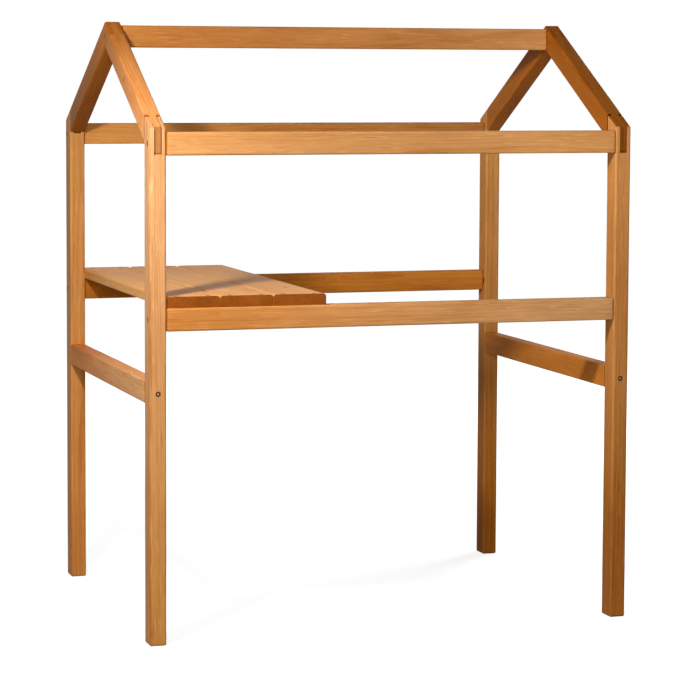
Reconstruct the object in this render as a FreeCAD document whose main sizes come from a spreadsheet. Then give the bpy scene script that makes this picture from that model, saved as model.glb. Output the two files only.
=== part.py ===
import FreeCAD, Part
import os
import Sketcher

# Plant shelf: an open house-shaped frame of one planed timber section, with slatted boards on its left end.
# Frame of the part: X along the ridge, Y from front to back, Z up, origin on the floor at the middle.

# Driving dimensions: millimetres, degrees for the pitch, and one count
SIZES = [
    ("frame_length", 1000.0, "overall length along the ridge"),
    ("frame_depth", 780.0, "overall depth over the outer faces of the posts"),
    ("eaves_height", 1005.0, "height of the posts at their outer faces"),
    ("roof_pitch", 28.0, "pitch of the rafters in degrees"),
    ("timber_thick", 33.0, "narrow side of the frame timber"),
    ("timber_wide", 45.0, "wide side of the frame timber"),
    ("edge_round", 4.0, "rounding of the long edges of the frame timber"),
    ("end_ease", 1.5, "chamfer round the sawn ends"),
    ("eave_rail_drop", 8.0, "top of the eave rails below the eaves"),
    ("shelf_height", 658.0, "top of the shelf rails, where the boards lie"),
    ("cross_rail_height", 515.0, "top of the low cross rails in the gables"),
    ("tongue_thick", 13.0, "thickness of the rafter tongues"),
    ("joint_clearance", 0.15, "gap on each side of a tongue in its slot"),
    ("tongue_recess", 3.0, "tongue end behind the outer face of its post"),
    ("slot_relief", 2.5, "floor of a post's slot below the tongue"),
    ("board_count", 3.0, "boards on the shelf"),
    ("board_width", 107.8, "width of a shelf board"),
    ("board_thick", 22.0, "thickness of a shelf board"),
    ("board_gap", 0.2, "gap beside each shelf board"),
    ("board_setback", 6.0, "board ends behind the outer faces of the shelf rails"),
    ("board_top_round", 6.0, "rounding of the upper long edges of a board"),
    ("board_bottom_round", 3.0, "rounding of the lower long edges of a board"),
    ("screw_length", 90.0, "frame screw, head to point"),
    ("screw_shank", 5.0, "frame screw shank diameter"),
    ("screw_head", 9.0, "frame screw head diameter"),
    ("board_screw_length", 35.0, "board screw, head to point"),
    ("board_screw_shank", 4.0, "board screw shank diameter"),
    ("board_screw_head", 8.0, "board screw head diameter"),
    ("board_screw_inset", 22.0, "board screw from the long edge of its board"),
    ("screw_point", 6.0, "length of the point of a screw"),
    ("screw_clearance", 0.1, "gap between a screw and its hole"),
    ("head_sink", 0.8, "screw head below the timber face"),
    ("drive_span", 4.6, "width across the cross recess in a screw head"),
    ("drive_slot", 1.2, "width of one arm of the cross recess"),
    ("drive_depth", 2.2, "depth of the cross recess"),
]

doc = FreeCAD.newDocument("plant_shelf")
sheet = doc.addObject("Spreadsheet::Sheet", "Sizes")
for row, (alias, value, note) in enumerate(SIZES, start=1):
    sheet.set(f"A{row}", alias)
    sheet.set(f"B{row}", str(value))
    sheet.set(f"C{row}", note)
    sheet.setAlias(f"B{row}", alias)
doc.recompute()

# Expressions that several pieces share
HALF_LENGTH = "Sizes.frame_length / 2"
HALF_DEPTH = "Sizes.frame_depth / 2"
THICK = "Sizes.timber_thick"
WIDE = "Sizes.timber_wide"
HALF_THICK = "Sizes.timber_thick / 2"
HALF_WIDE = "Sizes.timber_wide / 2"
SLOPE = "tan(Sizes.roof_pitch)"
PLUMB = "Sizes.timber_wide / cos(Sizes.roof_pitch)"
PEAK = f"(Sizes.eaves_height + {HALF_DEPTH} * {SLOPE})"
APEX_LAP = f"({PLUMB} / {SLOPE} / 2)"
SLOT_WIDTH = "(Sizes.tongue_thick + 2 * Sizes.joint_clearance)"

EAVE_BOTTOM = f"(Sizes.eaves_height - Sizes.eave_rail_drop - {WIDE})"
SHELF_BOTTOM = f"(Sizes.shelf_height - {WIDE})"
CROSS_BOTTOM = f"(Sizes.cross_rail_height - {WIDE})"
# The ridge beam's rounded upper edges lie in the two roof planes
ROUND_RISE = "(sin(Sizes.roof_pitch) + cos(Sizes.roof_pitch) - 1) / cos(Sizes.roof_pitch)"
ROUND_GAIN = f"Sizes.edge_round * {ROUND_RISE}"
RIDGE_BOTTOM = f"({PEAK} - {HALF_THICK} * {SLOPE} + {ROUND_GAIN} - {WIDE})"

SCREW_HOLE = "(Sizes.screw_shank + 2 * Sizes.screw_clearance)"
SCREW_SINK = "(Sizes.screw_head + 2 * Sizes.head_sink + 2 * Sizes.screw_clearance)"
BOARD_SCREW_HOLE = "(Sizes.board_screw_shank + 2 * Sizes.screw_clearance)"
BOARD_SCREW_SINK = "(Sizes.board_screw_head + 2 * Sizes.head_sink + 2 * Sizes.screw_clearance)"
COUNTERSINK_ANGLE = 90.0

EAVE_MIDDLE = f"({EAVE_BOTTOM} + {HALF_WIDE})"
SHELF_MIDDLE = f"({SHELF_BOTTOM} + {HALF_WIDE})"
CROSS_MIDDLE = f"({CROSS_BOTTOM} + {HALF_WIDE})"
RIDGE_MIDDLE = f"({RIDGE_BOTTOM} + {HALF_WIDE})"

RAIL_LENGTH = f"(Sizes.frame_length - 2 * {THICK})"
PILOT_DEPTH = f"(Sizes.head_sink + Sizes.screw_length - {THICK} + Sizes.screw_clearance)"
CROSS_LENGTH = f"(Sizes.frame_depth - 2 * {WIDE})"
CROSS_PILOT_DEPTH = f"(Sizes.head_sink + Sizes.screw_length - {WIDE} + Sizes.screw_clearance)"
BOARD_LENGTH = "(Sizes.frame_depth - 2 * Sizes.board_setback)"
BOARD_PITCH = "(Sizes.board_width + Sizes.board_gap)"
BOARD_SCREW_LINE = f"({HALF_DEPTH} - {HALF_THICK})"
BOARD_PILOT_DEPTH = (
    "(Sizes.head_sink + Sizes.board_screw_length - Sizes.board_thick + Sizes.screw_clearance)"
)


def value_of(expression):
    """Number that an expression of the sheet gives now."""
    result = sheet.evalExpression(expression)
    return float(getattr(result, "Value", result))


def roof(run):
    """Height of the roof plane at a run inside the outer face of the posts."""
    return f"(Sizes.eaves_height + ({run}) * {SLOPE})"


def soffit(run):
    """Height of the underside of a rafter at that run."""
    return f"({roof(run)} - {PLUMB})"


def new_body(label, place=("0", "0", "0"), turn=None):
    """Body with its label and its place; turn is a rotation where the piece is turned."""
    body = doc.addObject("PartDesign::Body", label)
    body.Label = label
    if turn is not None:
        body.Placement = FreeCAD.Placement(FreeCAD.Vector(), turn)
    for axis, expression in zip("xyz", place):
        body.setExpression(f"Placement.Base.{axis}", expression)
    return body


def new_sketch(body, name, plane, offset=None):
    """Sketch on one of the body's own origin planes, shifted along the plane's normal."""
    sketch = body.newObject("Sketcher::SketchObject", name)
    planes = [item for item in body.Origin.OriginFeatures if item.Role == plane]
    sketch.AttachmentSupport = (planes[0], "")
    sketch.MapMode = "FlatFace"
    if offset is not None:
        sketch.setExpression("AttachmentOffset.Base.z", offset)
    doc.recompute()
    return sketch


def pin_point(sketch, item, point, across, up):
    """Hold a point of the sketch at two expressions from the sketch's origin."""
    for kind, expression in (("DistanceX", across), ("DistanceY", up)):
        constraint = Sketcher.Constraint(kind, -1, 1, item, point, value_of(expression))
        index = sketch.addConstraint(constraint)
        sketch.setExpression(f"Constraints[{index}]", expression)


def outline(sketch, points):
    """Closed straight-sided outline; each corner is a pair of expressions."""
    corners = [FreeCAD.Vector(value_of(across), value_of(up), 0) for across, up in points]
    count = len(corners)
    for index in range(count):
        sketch.addGeometry(Part.LineSegment(corners[index], corners[(index + 1) % count]), False)
    for index in range(count):
        sketch.addConstraint(Sketcher.Constraint("Coincident", index, 2, (index + 1) % count, 1))
    for index, (across, up) in enumerate(points):
        pin_point(sketch, index, 1, across, up)


def circles(sketch, centres, diameter):
    """Circles of one diameter about centres given as expressions."""
    for across, up in centres:
        centre = FreeCAD.Vector(value_of(across), value_of(up), 0)
        circle = Part.Circle(centre, FreeCAD.Vector(0, 0, 1), value_of(diameter) / 2)
        item = sketch.addGeometry(circle, False)
        pin_point(sketch, item, 3, across, up)
        index = sketch.addConstraint(Sketcher.Constraint("Diameter", item, value_of(diameter)))
        sketch.setExpression(f"Constraints[{index}]", diameter)


def finish_feature(body, feature, removes):
    """Recompute, make the feature the body's tip, and test that it changed the volume the right way."""
    before = body.Shape.Volume if body.Tip is not None and not body.Shape.isNull() else 0.0
    doc.recompute()
    body.Tip = feature
    doc.recompute()
    after = body.Shape.Volume
    if (after < before) != removes:
        raise RuntimeError(f"{feature.Name} did not change its piece: {before} to {after}")
    return feature


def pad(body, sketch, name, length, middle=True):
    """Raise a sketch to a length, on both sides of its plane unless told otherwise."""
    feature = body.newObject("PartDesign::Pad", name)
    feature.Profile = sketch
    feature.Midplane = middle
    feature.setExpression("Length", length)
    return finish_feature(body, feature, removes=False)


def pocket(body, sketch, name, length=None, middle=True):
    """Cut a sketch into the piece, right through when no length is given."""
    feature = body.newObject("PartDesign::Pocket", name)
    feature.Profile = sketch
    feature.Midplane = middle
    if length is None:
        feature.Type = "ThroughAll"
    else:
        feature.setExpression("Length", length)
    return finish_feature(body, feature, removes=True)


def countersunk(body, sketch, name, hole, sink, reverse):
    """Countersunk clearance holes right through the piece at the circles of a sketch."""
    doc.recompute()
    feature = body.newObject("PartDesign::Hole", name)
    feature.Profile = sketch
    feature.Threaded = False
    feature.ThreadType = "None"
    feature.DepthType = "ThroughAll"
    feature.Reversed = reverse
    feature.HoleCutType = "Countersink"
    feature.HoleCutCustomValues = True
    feature.HoleCutCountersinkAngle = COUNTERSINK_ANGLE
    feature.setExpression("Diameter", hole)
    feature.setExpression("HoleCutDiameter", sink)
    return finish_feature(body, feature, removes=True)


def mirrored(body, feature, name, plane):
    """Repeat a feature on the other side of one of the body's origin planes."""
    copy = body.newObject("PartDesign::Mirrored", name)
    copy.Originals = [feature]
    planes = [item for item in body.Origin.OriginFeatures if item.Role == plane]
    copy.MirrorPlane = (planes[0], [""])
    return finish_feature(body, copy, removes=True)


def edges_along(shape, direction, low=None, high=None):
    """Names of the straight edges that run along a direction, with their middle between two heights."""
    names = []
    for number, edge in enumerate(shape.Edges, start=1):
        if edge.Curve.TypeId != "Part::GeomLine":
            continue
        across = edge.tangentAt(edge.FirstParameter).cross(direction).Length
        height = edge.CenterOfMass.z
        inside = (low is None or height > low) and (high is None or height < high)
        if across < 1e-6 and inside:
            names.append(f"Edge{number}")
    return names


def round_edges(body, name, edges, radius):
    """Round the named edges of the body's tip."""
    blank = body.Tip
    feature = body.newObject("PartDesign::Fillet", name)
    feature.Base = (blank, edges)
    feature.setExpression("Radius", radius)
    return finish_feature(body, feature, removes=True)


def ease_ends(body, name, faces, size):
    """Chamfer round the named end faces of the body's tip."""
    blank = body.Tip
    feature = body.newObject("PartDesign::Chamfer", name)
    feature.Base = (blank, faces)
    feature.setExpression("Size", size)
    return finish_feature(body, feature, removes=True)


def end_faces(shape, direction, both=True):
    """Names of the flat faces square to a direction: both ends, or only the low one."""
    found = []
    for number, face in enumerate(shape.Faces, start=1):
        if face.Surface.TypeId != "Part::GeomPlane":
            continue
        normal = face.normalAt(0, 0)
        if abs(normal.dot(direction)) > 1 - 1e-6 and (both or normal.dot(direction) < 0):
            found.append(f"Face{number}")
    return found


def flipped(source, label, normal):
    """Mirror image of a whole piece across the middle of the frame."""
    image = doc.addObject("Part::Mirroring", label)
    image.Label = label
    image.Source = source
    image.Normal = normal
    doc.recompute()
    return image


ALONG_X = FreeCAD.Vector(1, 0, 0)
ALONG_Y = FreeCAD.Vector(0, 1, 0)
ALONG_Z = FreeCAD.Vector(0, 0, 1)
OUTER_CORNER = (f"-({HALF_LENGTH})", f"-({HALF_DEPTH})", "0")


def make_post(label):
    """Front left post: its top is cut to the pitch and slotted for the rafter's tongue."""
    body = new_body(label, OUTER_CORNER)
    section = new_sketch(body, label + "_section", "XY_Plane")
    outline(section, [("0", "0"), (THICK, "0"), (THICK, WIDE), ("0", WIDE)])
    pad(body, section, label + "_blank", roof(WIDE), middle=False)
    round_edges(body, label + "_edges", edges_along(body.Tip.Shape, ALONG_Z), "Sizes.edge_round")
    ease_ends(body, label + "_foot", end_faces(body.Tip.Shape, ALONG_Z, both=False), "Sizes.end_ease")
    waste = new_sketch(body, label + "_waste", "YZ_Plane")
    outline(waste, [("0", roof("0")), (WIDE, roof(WIDE)), ("0", roof(WIDE))])
    pocket(body, waste, label + "_roof_cut")
    slot = new_sketch(body, label + "_slot_side", "YZ_Plane", HALF_THICK)
    low = f"({PLUMB} + Sizes.slot_relief)"
    outline(slot, [
        ("0", f"{roof('0')} - {low}"),
        (WIDE, f"{roof(WIDE)} - {low}"),
        (WIDE, roof(WIDE)),
        ("0", roof("0")),
    ])
    pocket(body, slot, label + "_slot", SLOT_WIDTH)
    rail_holes = new_sketch(body, label + "_rail_hole_places", "YZ_Plane")
    circles(rail_holes, [(HALF_THICK, EAVE_MIDDLE), (HALF_THICK, SHELF_MIDDLE)], SCREW_HOLE)
    countersunk(body, rail_holes, label + "_rail_holes", SCREW_HOLE, SCREW_SINK, reverse=True)
    cross_hole = new_sketch(body, label + "_cross_hole_place", "XZ_Plane")
    circles(cross_hole, [(HALF_THICK, CROSS_MIDDLE)], SCREW_HOLE)
    countersunk(body, cross_hole, label + "_cross_hole", SCREW_HOLE, SCREW_SINK, reverse=False)
    return body


def rafter_blank(body, label, upper):
    """Full-thickness length of a rafter, from its post's inner face to the upper corners given."""
    side = new_sketch(body, label + "_side", "YZ_Plane", HALF_THICK)
    outline(side, [(WIDE, soffit(WIDE)), (WIDE, roof(WIDE))] + upper)
    pad(body, side, label + "_blank", THICK)
    up_the_roof = FreeCAD.Rotation(ALONG_X, value_of("Sizes.roof_pitch")).multVec(ALONG_Y)
    long_edges = edges_along(body.Tip.Shape, up_the_roof)
    round_edges(body, label + "_edges", long_edges, "Sizes.edge_round")


def make_tongued_rafter(label):
    """Front left rafter: a tongue at each end, the upper one between the cheeks of the other rafter."""
    body = new_body(label, OUTER_CORNER)
    apex_front = (f"{HALF_DEPTH} - {APEX_LAP}", f"{PEAK} - {PLUMB} / 2")
    apex_back = (f"{HALF_DEPTH} + {APEX_LAP}", f"{PEAK} - {PLUMB} / 2")
    apex_under = (HALF_DEPTH, f"{PEAK} - {PLUMB}")
    rafter_blank(body, label, [apex_front, apex_under])
    tongue = new_sketch(body, label + "_tongue_side", "YZ_Plane", HALF_THICK)
    recess = "Sizes.tongue_recess"
    outline(tongue, [(recess, soffit(recess)), (recess, roof(recess)), (HALF_DEPTH, PEAK), apex_back])
    pad(body, tongue, label + "_tongues", "Sizes.tongue_thick")
    holes = new_sketch(body, label + "_hole_places", "YZ_Plane")
    circles(holes, [(HALF_THICK, EAVE_MIDDLE), (HALF_DEPTH, RIDGE_MIDDLE)], SCREW_HOLE)
    pocket(body, holes, label + "_holes")
    return body


def make_forked_rafter(label):
    """Back right rafter: two cheeks at the ridge, a tongue at its post."""
    turn = FreeCAD.Rotation(ALONG_Z, 180)
    body = new_body(label, (HALF_LENGTH, HALF_DEPTH, "0"), turn)
    apex_top = (HALF_DEPTH, PEAK)
    apex_far = (f"{HALF_DEPTH} + {APEX_LAP}", f"{PEAK} - {PLUMB} / 2")
    apex_near = (f"{HALF_DEPTH} - {APEX_LAP}", f"{PEAK} - {PLUMB} / 2")
    apex_under = (HALF_DEPTH, f"{PEAK} - {PLUMB}")
    rafter_blank(body, label, [apex_top, apex_far])
    fork = new_sketch(body, label + "_fork_side", "YZ_Plane", HALF_THICK)
    outline(fork, [apex_near, apex_under, apex_far, apex_top])
    pocket(body, fork, label + "_fork", SLOT_WIDTH)
    tongue = new_sketch(body, label + "_tongue_side", "YZ_Plane", HALF_THICK)
    recess = "Sizes.tongue_recess"
    outline(tongue, [
        (recess, soffit(recess)),
        (recess, roof(recess)),
        (WIDE, roof(WIDE)),
        (WIDE, soffit(WIDE)),
    ])
    pad(body, tongue, label + "_tongue", "Sizes.tongue_thick")
    low_hole = new_sketch(body, label + "_eave_hole_place", "YZ_Plane")
    circles(low_hole, [(HALF_THICK, EAVE_MIDDLE)], SCREW_HOLE)
    pocket(body, low_hole, label + "_eave_hole")
    ridge_hole = new_sketch(body, label + "_ridge_hole_place", "YZ_Plane")
    circles(ridge_hole, [(HALF_DEPTH, RIDGE_MIDDLE)], SCREW_HOLE)
    countersunk(body, ridge_hole, label + "_ridge_hole", SCREW_HOLE, SCREW_SINK, reverse=True)
    return body


def board_left(number):
    """Left edge of a board, counted from 0 at the left posts."""
    return f"(-({HALF_LENGTH}) + {THICK} + Sizes.board_gap + {number} * {BOARD_PITCH})"


def board_screw_places():
    """X of the two screw lines of every board."""
    places = []
    for number in range(int(value_of("Sizes.board_count"))):
        left = board_left(number)
        places.append(f"({left} + Sizes.board_screw_inset)")
        places.append(f"({left} + Sizes.board_width - Sizes.board_screw_inset)")
    return places


def make_long_rail(label, front, bottom):
    """Rail along the frame, butted between two posts or two gables and drilled in both ends."""
    body = new_body(label, ("0", front, bottom))
    section = new_sketch(body, label + "_section", "YZ_Plane")
    outline(section, [("0", "0"), (THICK, "0"), (THICK, WIDE), ("0", WIDE)])
    pad(body, section, label + "_blank", RAIL_LENGTH)
    round_edges(body, label + "_edges", edges_along(body.Tip.Shape, ALONG_X), "Sizes.edge_round")
    ease_ends(body, label + "_ends", end_faces(body.Tip.Shape, ALONG_X), "Sizes.end_ease")
    end = new_sketch(body, label + "_pilot_place", "YZ_Plane", f"{RAIL_LENGTH} / 2")
    circles(end, [(HALF_THICK, HALF_WIDE)], SCREW_HOLE)
    hole = pocket(body, end, label + "_pilot", PILOT_DEPTH, middle=False)
    mirrored(body, hole, label + "_pilots", "YZ_Plane")
    return body


def drill_for_boards(body):
    """Pilot holes for the board screws along the top of a shelf rail."""
    places = new_sketch(body, body.Label + "_board_places", "XY_Plane", WIDE)
    circles(places, [(across, HALF_THICK) for across in board_screw_places()], BOARD_SCREW_HOLE)
    pocket(body, places, body.Label + "_board_pilots", BOARD_PILOT_DEPTH, middle=False)


def make_cross_rail(label):
    """Left low cross rail, butted between the front and the back post."""
    body = new_body(label, (f"-({HALF_LENGTH})", "0", CROSS_BOTTOM))
    section = new_sketch(body, label + "_section", "XZ_Plane")
    outline(section, [("0", "0"), (THICK, "0"), (THICK, WIDE), ("0", WIDE)])
    pad(body, section, label + "_blank", CROSS_LENGTH)
    round_edges(body, label + "_edges", edges_along(body.Tip.Shape, ALONG_Y), "Sizes.edge_round")
    ease_ends(body, label + "_ends", end_faces(body.Tip.Shape, ALONG_Y), "Sizes.end_ease")
    end = new_sketch(body, label + "_pilot_place", "XZ_Plane", f"{CROSS_LENGTH} / 2")
    circles(end, [(HALF_THICK, HALF_WIDE)], SCREW_HOLE)
    hole = pocket(body, end, label + "_pilot", CROSS_PILOT_DEPTH, middle=False)
    mirrored(body, hole, label + "_pilots", "XZ_Plane")
    return body


def make_board(label, number):
    """Shelf board from the front rail to the back rail, screwed down at both ends."""
    body = new_body(label, (board_left(number), "0", "Sizes.shelf_height"))
    section = new_sketch(body, label + "_section", "XZ_Plane")
    wide, thick = "Sizes.board_width", "Sizes.board_thick"
    outline(section, [("0", "0"), (wide, "0"), (wide, thick), ("0", thick)])
    pad(body, section, label + "_blank", BOARD_LENGTH)
    middle = value_of(f"{thick} / 2")
    upper = edges_along(body.Tip.Shape, ALONG_Y, low=middle)
    round_edges(body, label + "_top_edges", upper, "Sizes.board_top_round")
    lower = edges_along(body.Tip.Shape, ALONG_Y, high=middle)
    round_edges(body, label + "_bottom_edges", lower, "Sizes.board_bottom_round")
    ease_ends(body, label + "_ends", end_faces(body.Tip.Shape, ALONG_Y), "Sizes.end_ease")
    places = new_sketch(body, label + "_hole_places", "XY_Plane", thick)
    insets = ["Sizes.board_screw_inset", f"{wide} - Sizes.board_screw_inset"]
    circles(places, [(inset, BOARD_SCREW_LINE) for inset in insets], BOARD_SCREW_HOLE)
    holes = countersunk(body, places, label + "_holes", BOARD_SCREW_HOLE, BOARD_SCREW_SINK, reverse=False)
    mirrored(body, holes, label + "_both_ends", "XZ_Plane")
    return body


def make_screw(label, kind, place, turn=None):
    """Countersunk screw, point at its origin and head upwards before it is turned into place."""
    length, shank, head = (f"Sizes.{kind}_length", f"Sizes.{kind}_shank", f"Sizes.{kind}_head")
    body = new_body(label, place, turn)
    half = new_sketch(body, label + "_half", "XZ_Plane")
    outline(half, [
        ("0", "0"),
        (f"{shank} / 2", "Sizes.screw_point"),
        (f"{shank} / 2", f"{length} - ({head} - {shank}) / 2"),
        (f"{head} / 2", length),
        ("0", length),
    ])
    solid = body.newObject("PartDesign::Revolution", label + "_turned")
    solid.Profile = half
    solid.ReferenceAxis = (half, ["V_Axis"])
    solid.Angle = 360.0
    finish_feature(body, solid, removes=False)
    drive = new_sketch(body, label + "_drive_shape", "XY_Plane", length)
    reach, arm = "Sizes.drive_span / 2", "Sizes.drive_slot / 2"
    quarter = [(reach, arm), (arm, arm), (arm, reach)]
    signs = [("", ""), ("-", ""), ("-", "-"), ("", "-")]
    points = []
    for index, (across_sign, up_sign) in enumerate(signs):
        corner = quarter if index % 2 == 0 else list(reversed(quarter))
        for across, up in corner:
            points.append((f"{across_sign}({across})", f"{up_sign}({up})"))
    outline(drive, points)
    pocket(body, drive, label + "_drive", "Sizes.drive_depth", middle=False)
    return body


def four_ways(source, stem):
    """A piece of the front left corner and its images at the other three corners."""
    front_right = flipped(source, stem + "_front_right", ALONG_X)
    back_left = flipped(source, stem + "_back_left", ALONG_Y)
    back_right = flipped(front_right, stem + "_back_right", ALONG_Y)
    return [source, front_right, back_left, back_right]


def group(label, pieces):
    """Identical fasteners as one node of separate solids."""
    compound = doc.addObject("Part::Compound", label)
    compound.Label = label
    compound.Links = pieces
    doc.recompute()
    return compound


# Timber pieces
nodes = four_ways(make_post("post_front_left"), "post")

tongued = make_tongued_rafter("rafter_front_left")
nodes += [tongued, flipped(tongued, "rafter_front_right", ALONG_X)]
forked = make_forked_rafter("rafter_back_right")
nodes += [forked, flipped(forked, "rafter_back_left", ALONG_X)]

nodes.append(make_long_rail("ridge_beam", f"-({HALF_THICK})", RIDGE_BOTTOM))
eave_rail = make_long_rail("eave_rail_front", f"-({HALF_DEPTH})", EAVE_BOTTOM)
nodes += [eave_rail, flipped(eave_rail, "eave_rail_back", ALONG_Y)]
shelf_rail = make_long_rail("shelf_rail_front", f"-({HALF_DEPTH})", SHELF_BOTTOM)
drill_for_boards(shelf_rail)
nodes += [shelf_rail, flipped(shelf_rail, "shelf_rail_back", ALONG_Y)]
cross_rail = make_cross_rail("cross_rail_left")
nodes += [cross_rail, flipped(cross_rail, "cross_rail_right", ALONG_X)]
for number in range(int(value_of("Sizes.board_count"))):
    nodes.append(make_board(f"shelf_board_{number + 1}", number))

# Screws: each holds its rail through the post or the gable, on the middle of the rail's section
TIP_INSIDE = "Sizes.head_sink + Sizes.screw_length"
TO_LEFT = FreeCAD.Rotation(ALONG_Y, -90)
TO_FRONT = FreeCAD.Rotation(ALONG_X, 90)
LEFT_TIP = f"-({HALF_LENGTH}) + {TIP_INSIDE}"
RAIL_LINE = f"-({HALF_DEPTH}) + {HALF_THICK}"

eave_screw = make_screw("eave_screw", "screw", (LEFT_TIP, RAIL_LINE, EAVE_MIDDLE), TO_LEFT)
nodes.append(group("eave_rail_screws", four_ways(eave_screw, "eave_screw")))
shelf_screw = make_screw("shelf_screw", "screw", (LEFT_TIP, RAIL_LINE, SHELF_MIDDLE), TO_LEFT)
nodes.append(group("shelf_rail_screws", four_ways(shelf_screw, "shelf_screw")))
ridge_screw = make_screw("ridge_screw", "screw", (LEFT_TIP, "0", RIDGE_MIDDLE), TO_LEFT)
nodes.append(group("ridge_screws", [ridge_screw, flipped(ridge_screw, "ridge_screw_right", ALONG_X)]))
cross_place = (f"-({HALF_LENGTH}) + {HALF_THICK}", f"-({HALF_DEPTH}) + {TIP_INSIDE}", CROSS_MIDDLE)
cross_screw = make_screw("cross_screw", "screw", cross_place, TO_FRONT)
nodes.append(group("cross_rail_screws", four_ways(cross_screw, "cross_screw")))

BOARD_TIP = "Sizes.shelf_height + Sizes.board_thick - Sizes.head_sink - Sizes.board_screw_length"
board_screws = []
for number, across in enumerate(board_screw_places(), start=1):
    screw = make_screw(f"board_screw_{number}", "board_screw", (across, RAIL_LINE, BOARD_TIP))
    board_screws += [screw, flipped(screw, f"board_screw_{number}_back", ALONG_Y)]
nodes.append(group("shelf_board_screws", board_screws))

# Every object and every piece is tested before anything is written
doc.recompute()
for item in doc.Objects:
    if "Invalid" in item.State or "Error" in item.State:
        raise RuntimeError(f"{item.Label} failed: {item.State}")
for node in nodes:
    if node.Shape.isNull() or not node.Shape.isValid():
        raise RuntimeError(f"{node.Label} has no valid shape")
    if any(solid.Volume <= 0 for solid in node.Shape.Solids) or not node.Shape.Solids:
        raise RuntimeError(f"{node.Label} has a solid turned inside out, or none")

os.makedirs("parts", exist_ok=True)
for node in nodes:
    node.Shape.exportStep(f"parts/{node.Label}.step")
    box = node.Shape.BoundBox
    print(
        f"{node.Label:20s} solids {len(node.Shape.Solids):2d} volume {node.Shape.Volume / 1000:9.2f} cm3"
        f"  x {box.XMin:8.2f} {box.XMax:8.2f}  y {box.YMin:8.2f} {box.YMax:8.2f}"
        f"  z {box.ZMin:8.2f} {box.ZMax:8.2f}"
    )
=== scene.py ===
import logging
import math
import random
from dataclasses import dataclass, field
from enum import Enum
from typing import Optional, Sequence

import bmesh
import bpy
from mathutils import Matrix, Vector, noise


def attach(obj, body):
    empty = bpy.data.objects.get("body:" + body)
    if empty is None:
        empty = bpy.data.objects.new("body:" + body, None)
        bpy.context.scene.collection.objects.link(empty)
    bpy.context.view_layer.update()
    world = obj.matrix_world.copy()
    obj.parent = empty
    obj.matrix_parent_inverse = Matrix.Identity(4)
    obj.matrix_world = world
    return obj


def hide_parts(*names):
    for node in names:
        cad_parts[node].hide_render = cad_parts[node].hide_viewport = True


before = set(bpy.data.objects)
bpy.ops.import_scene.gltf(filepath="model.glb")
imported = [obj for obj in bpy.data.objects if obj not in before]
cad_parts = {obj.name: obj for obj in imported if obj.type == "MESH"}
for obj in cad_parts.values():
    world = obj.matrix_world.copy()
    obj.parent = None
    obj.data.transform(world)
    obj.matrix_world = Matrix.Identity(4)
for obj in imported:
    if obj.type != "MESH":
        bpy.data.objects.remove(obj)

LOG = logging.getLogger("plant_shelf")
Pair = tuple[float, float]
Colour = tuple[float, float, float]


class Side(Enum):
    """Which eaves a piece belongs to; the value is the sign of Y."""

    FRONT = -1
    BACK = 1


class Gable(Enum):
    """Which end of the ridge a piece belongs to; the value is the sign of X."""

    LEFT = -1
    RIGHT = 1


class ApexJoint(Enum):
    """How a rafter meets its partner at the ridge."""

    TONGUE = "tongue"
    FORK = "fork"


@dataclass(frozen=True)
class FrameSizes:
    """Driving sizes of the frame, in metres.

    They are those of the solids, apart from the softer ease of the ends and the deeper recess of the tongues.
    """

    length: float = 1.000
    depth: float = 0.780
    eaves: float = 1.005
    pitch: float = math.radians(28.0)
    thick: float = 0.033
    wide: float = 0.045
    edge_round: float = 0.004
    end_ease: float = 0.0036
    eave_drop: float = 0.008
    shelf: float = 0.658
    cross: float = 0.515
    tongue: float = 0.013
    clearance: float = 0.00015
    recess: float = 0.0045
    slot_relief: float = 0.0025
    board_count: int = 3
    board_width: float = 0.1078
    board_thick: float = 0.022
    board_gap: float = 0.0002
    board_setback: float = 0.006
    board_inset: float = 0.022

    @property
    def section(self) -> Pair:
        """Section of the frame timber."""
        return self.thick, self.wide

    @property
    def roundings(self) -> tuple[float, float, float, float]:
        """Roundings of the four long edges of the frame timber."""
        return (self.edge_round,) * 4

    @property
    def half_length(self) -> float:
        """Half of the overall length."""
        return self.length / 2

    @property
    def half_depth(self) -> float:
        """Half of the overall depth."""
        return self.depth / 2

    @property
    def slope(self) -> float:
        """Rise of the roof for each metre of run."""
        return math.tan(self.pitch)

    @property
    def plumb(self) -> float:
        """Depth of a rafter measured plumb."""
        return self.wide / math.cos(self.pitch)

    @property
    def peak(self) -> float:
        """Height of the sharp peak of the roof."""
        return self.roof(self.half_depth)

    @property
    def ridge_top(self) -> float:
        """Top of the ridge beam, whose rounded edges lie in the roof planes."""
        rise = (math.sin(self.pitch) + math.cos(self.pitch) - 1) / math.cos(self.pitch)
        return self.peak - self.thick / 2 * self.slope + self.edge_round * rise

    @property
    def eave_middle(self) -> float:
        """Middle height of the eave rails."""
        return self.eaves - self.eave_drop - self.wide / 2

    @property
    def shelf_middle(self) -> float:
        """Middle height of the shelf rails."""
        return self.shelf - self.wide / 2

    @property
    def cross_middle(self) -> float:
        """Middle height of the cross rails."""
        return self.cross - self.wide / 2

    @property
    def ridge_middle(self) -> float:
        """Middle height of the ridge beam."""
        return self.ridge_top - self.wide / 2

    def roof(self, run: float) -> float:
        """Height of the roof plane at a run inside the outer face of the posts."""
        return self.eaves + run * self.slope

    def board_left(self, number: int) -> float:
        """Left edge of a board, counted from 0 at the left posts."""
        first = -self.half_length + self.thick + self.board_gap
        return first + number * (self.board_width + self.board_gap)

    def board_screw_lines(self, number: int) -> list[float]:
        """X of the two screw lines of a board."""
        left = self.board_left(number)
        return [left + self.board_inset, left + self.board_width - self.board_inset]


SIZES = FrameSizes()


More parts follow.
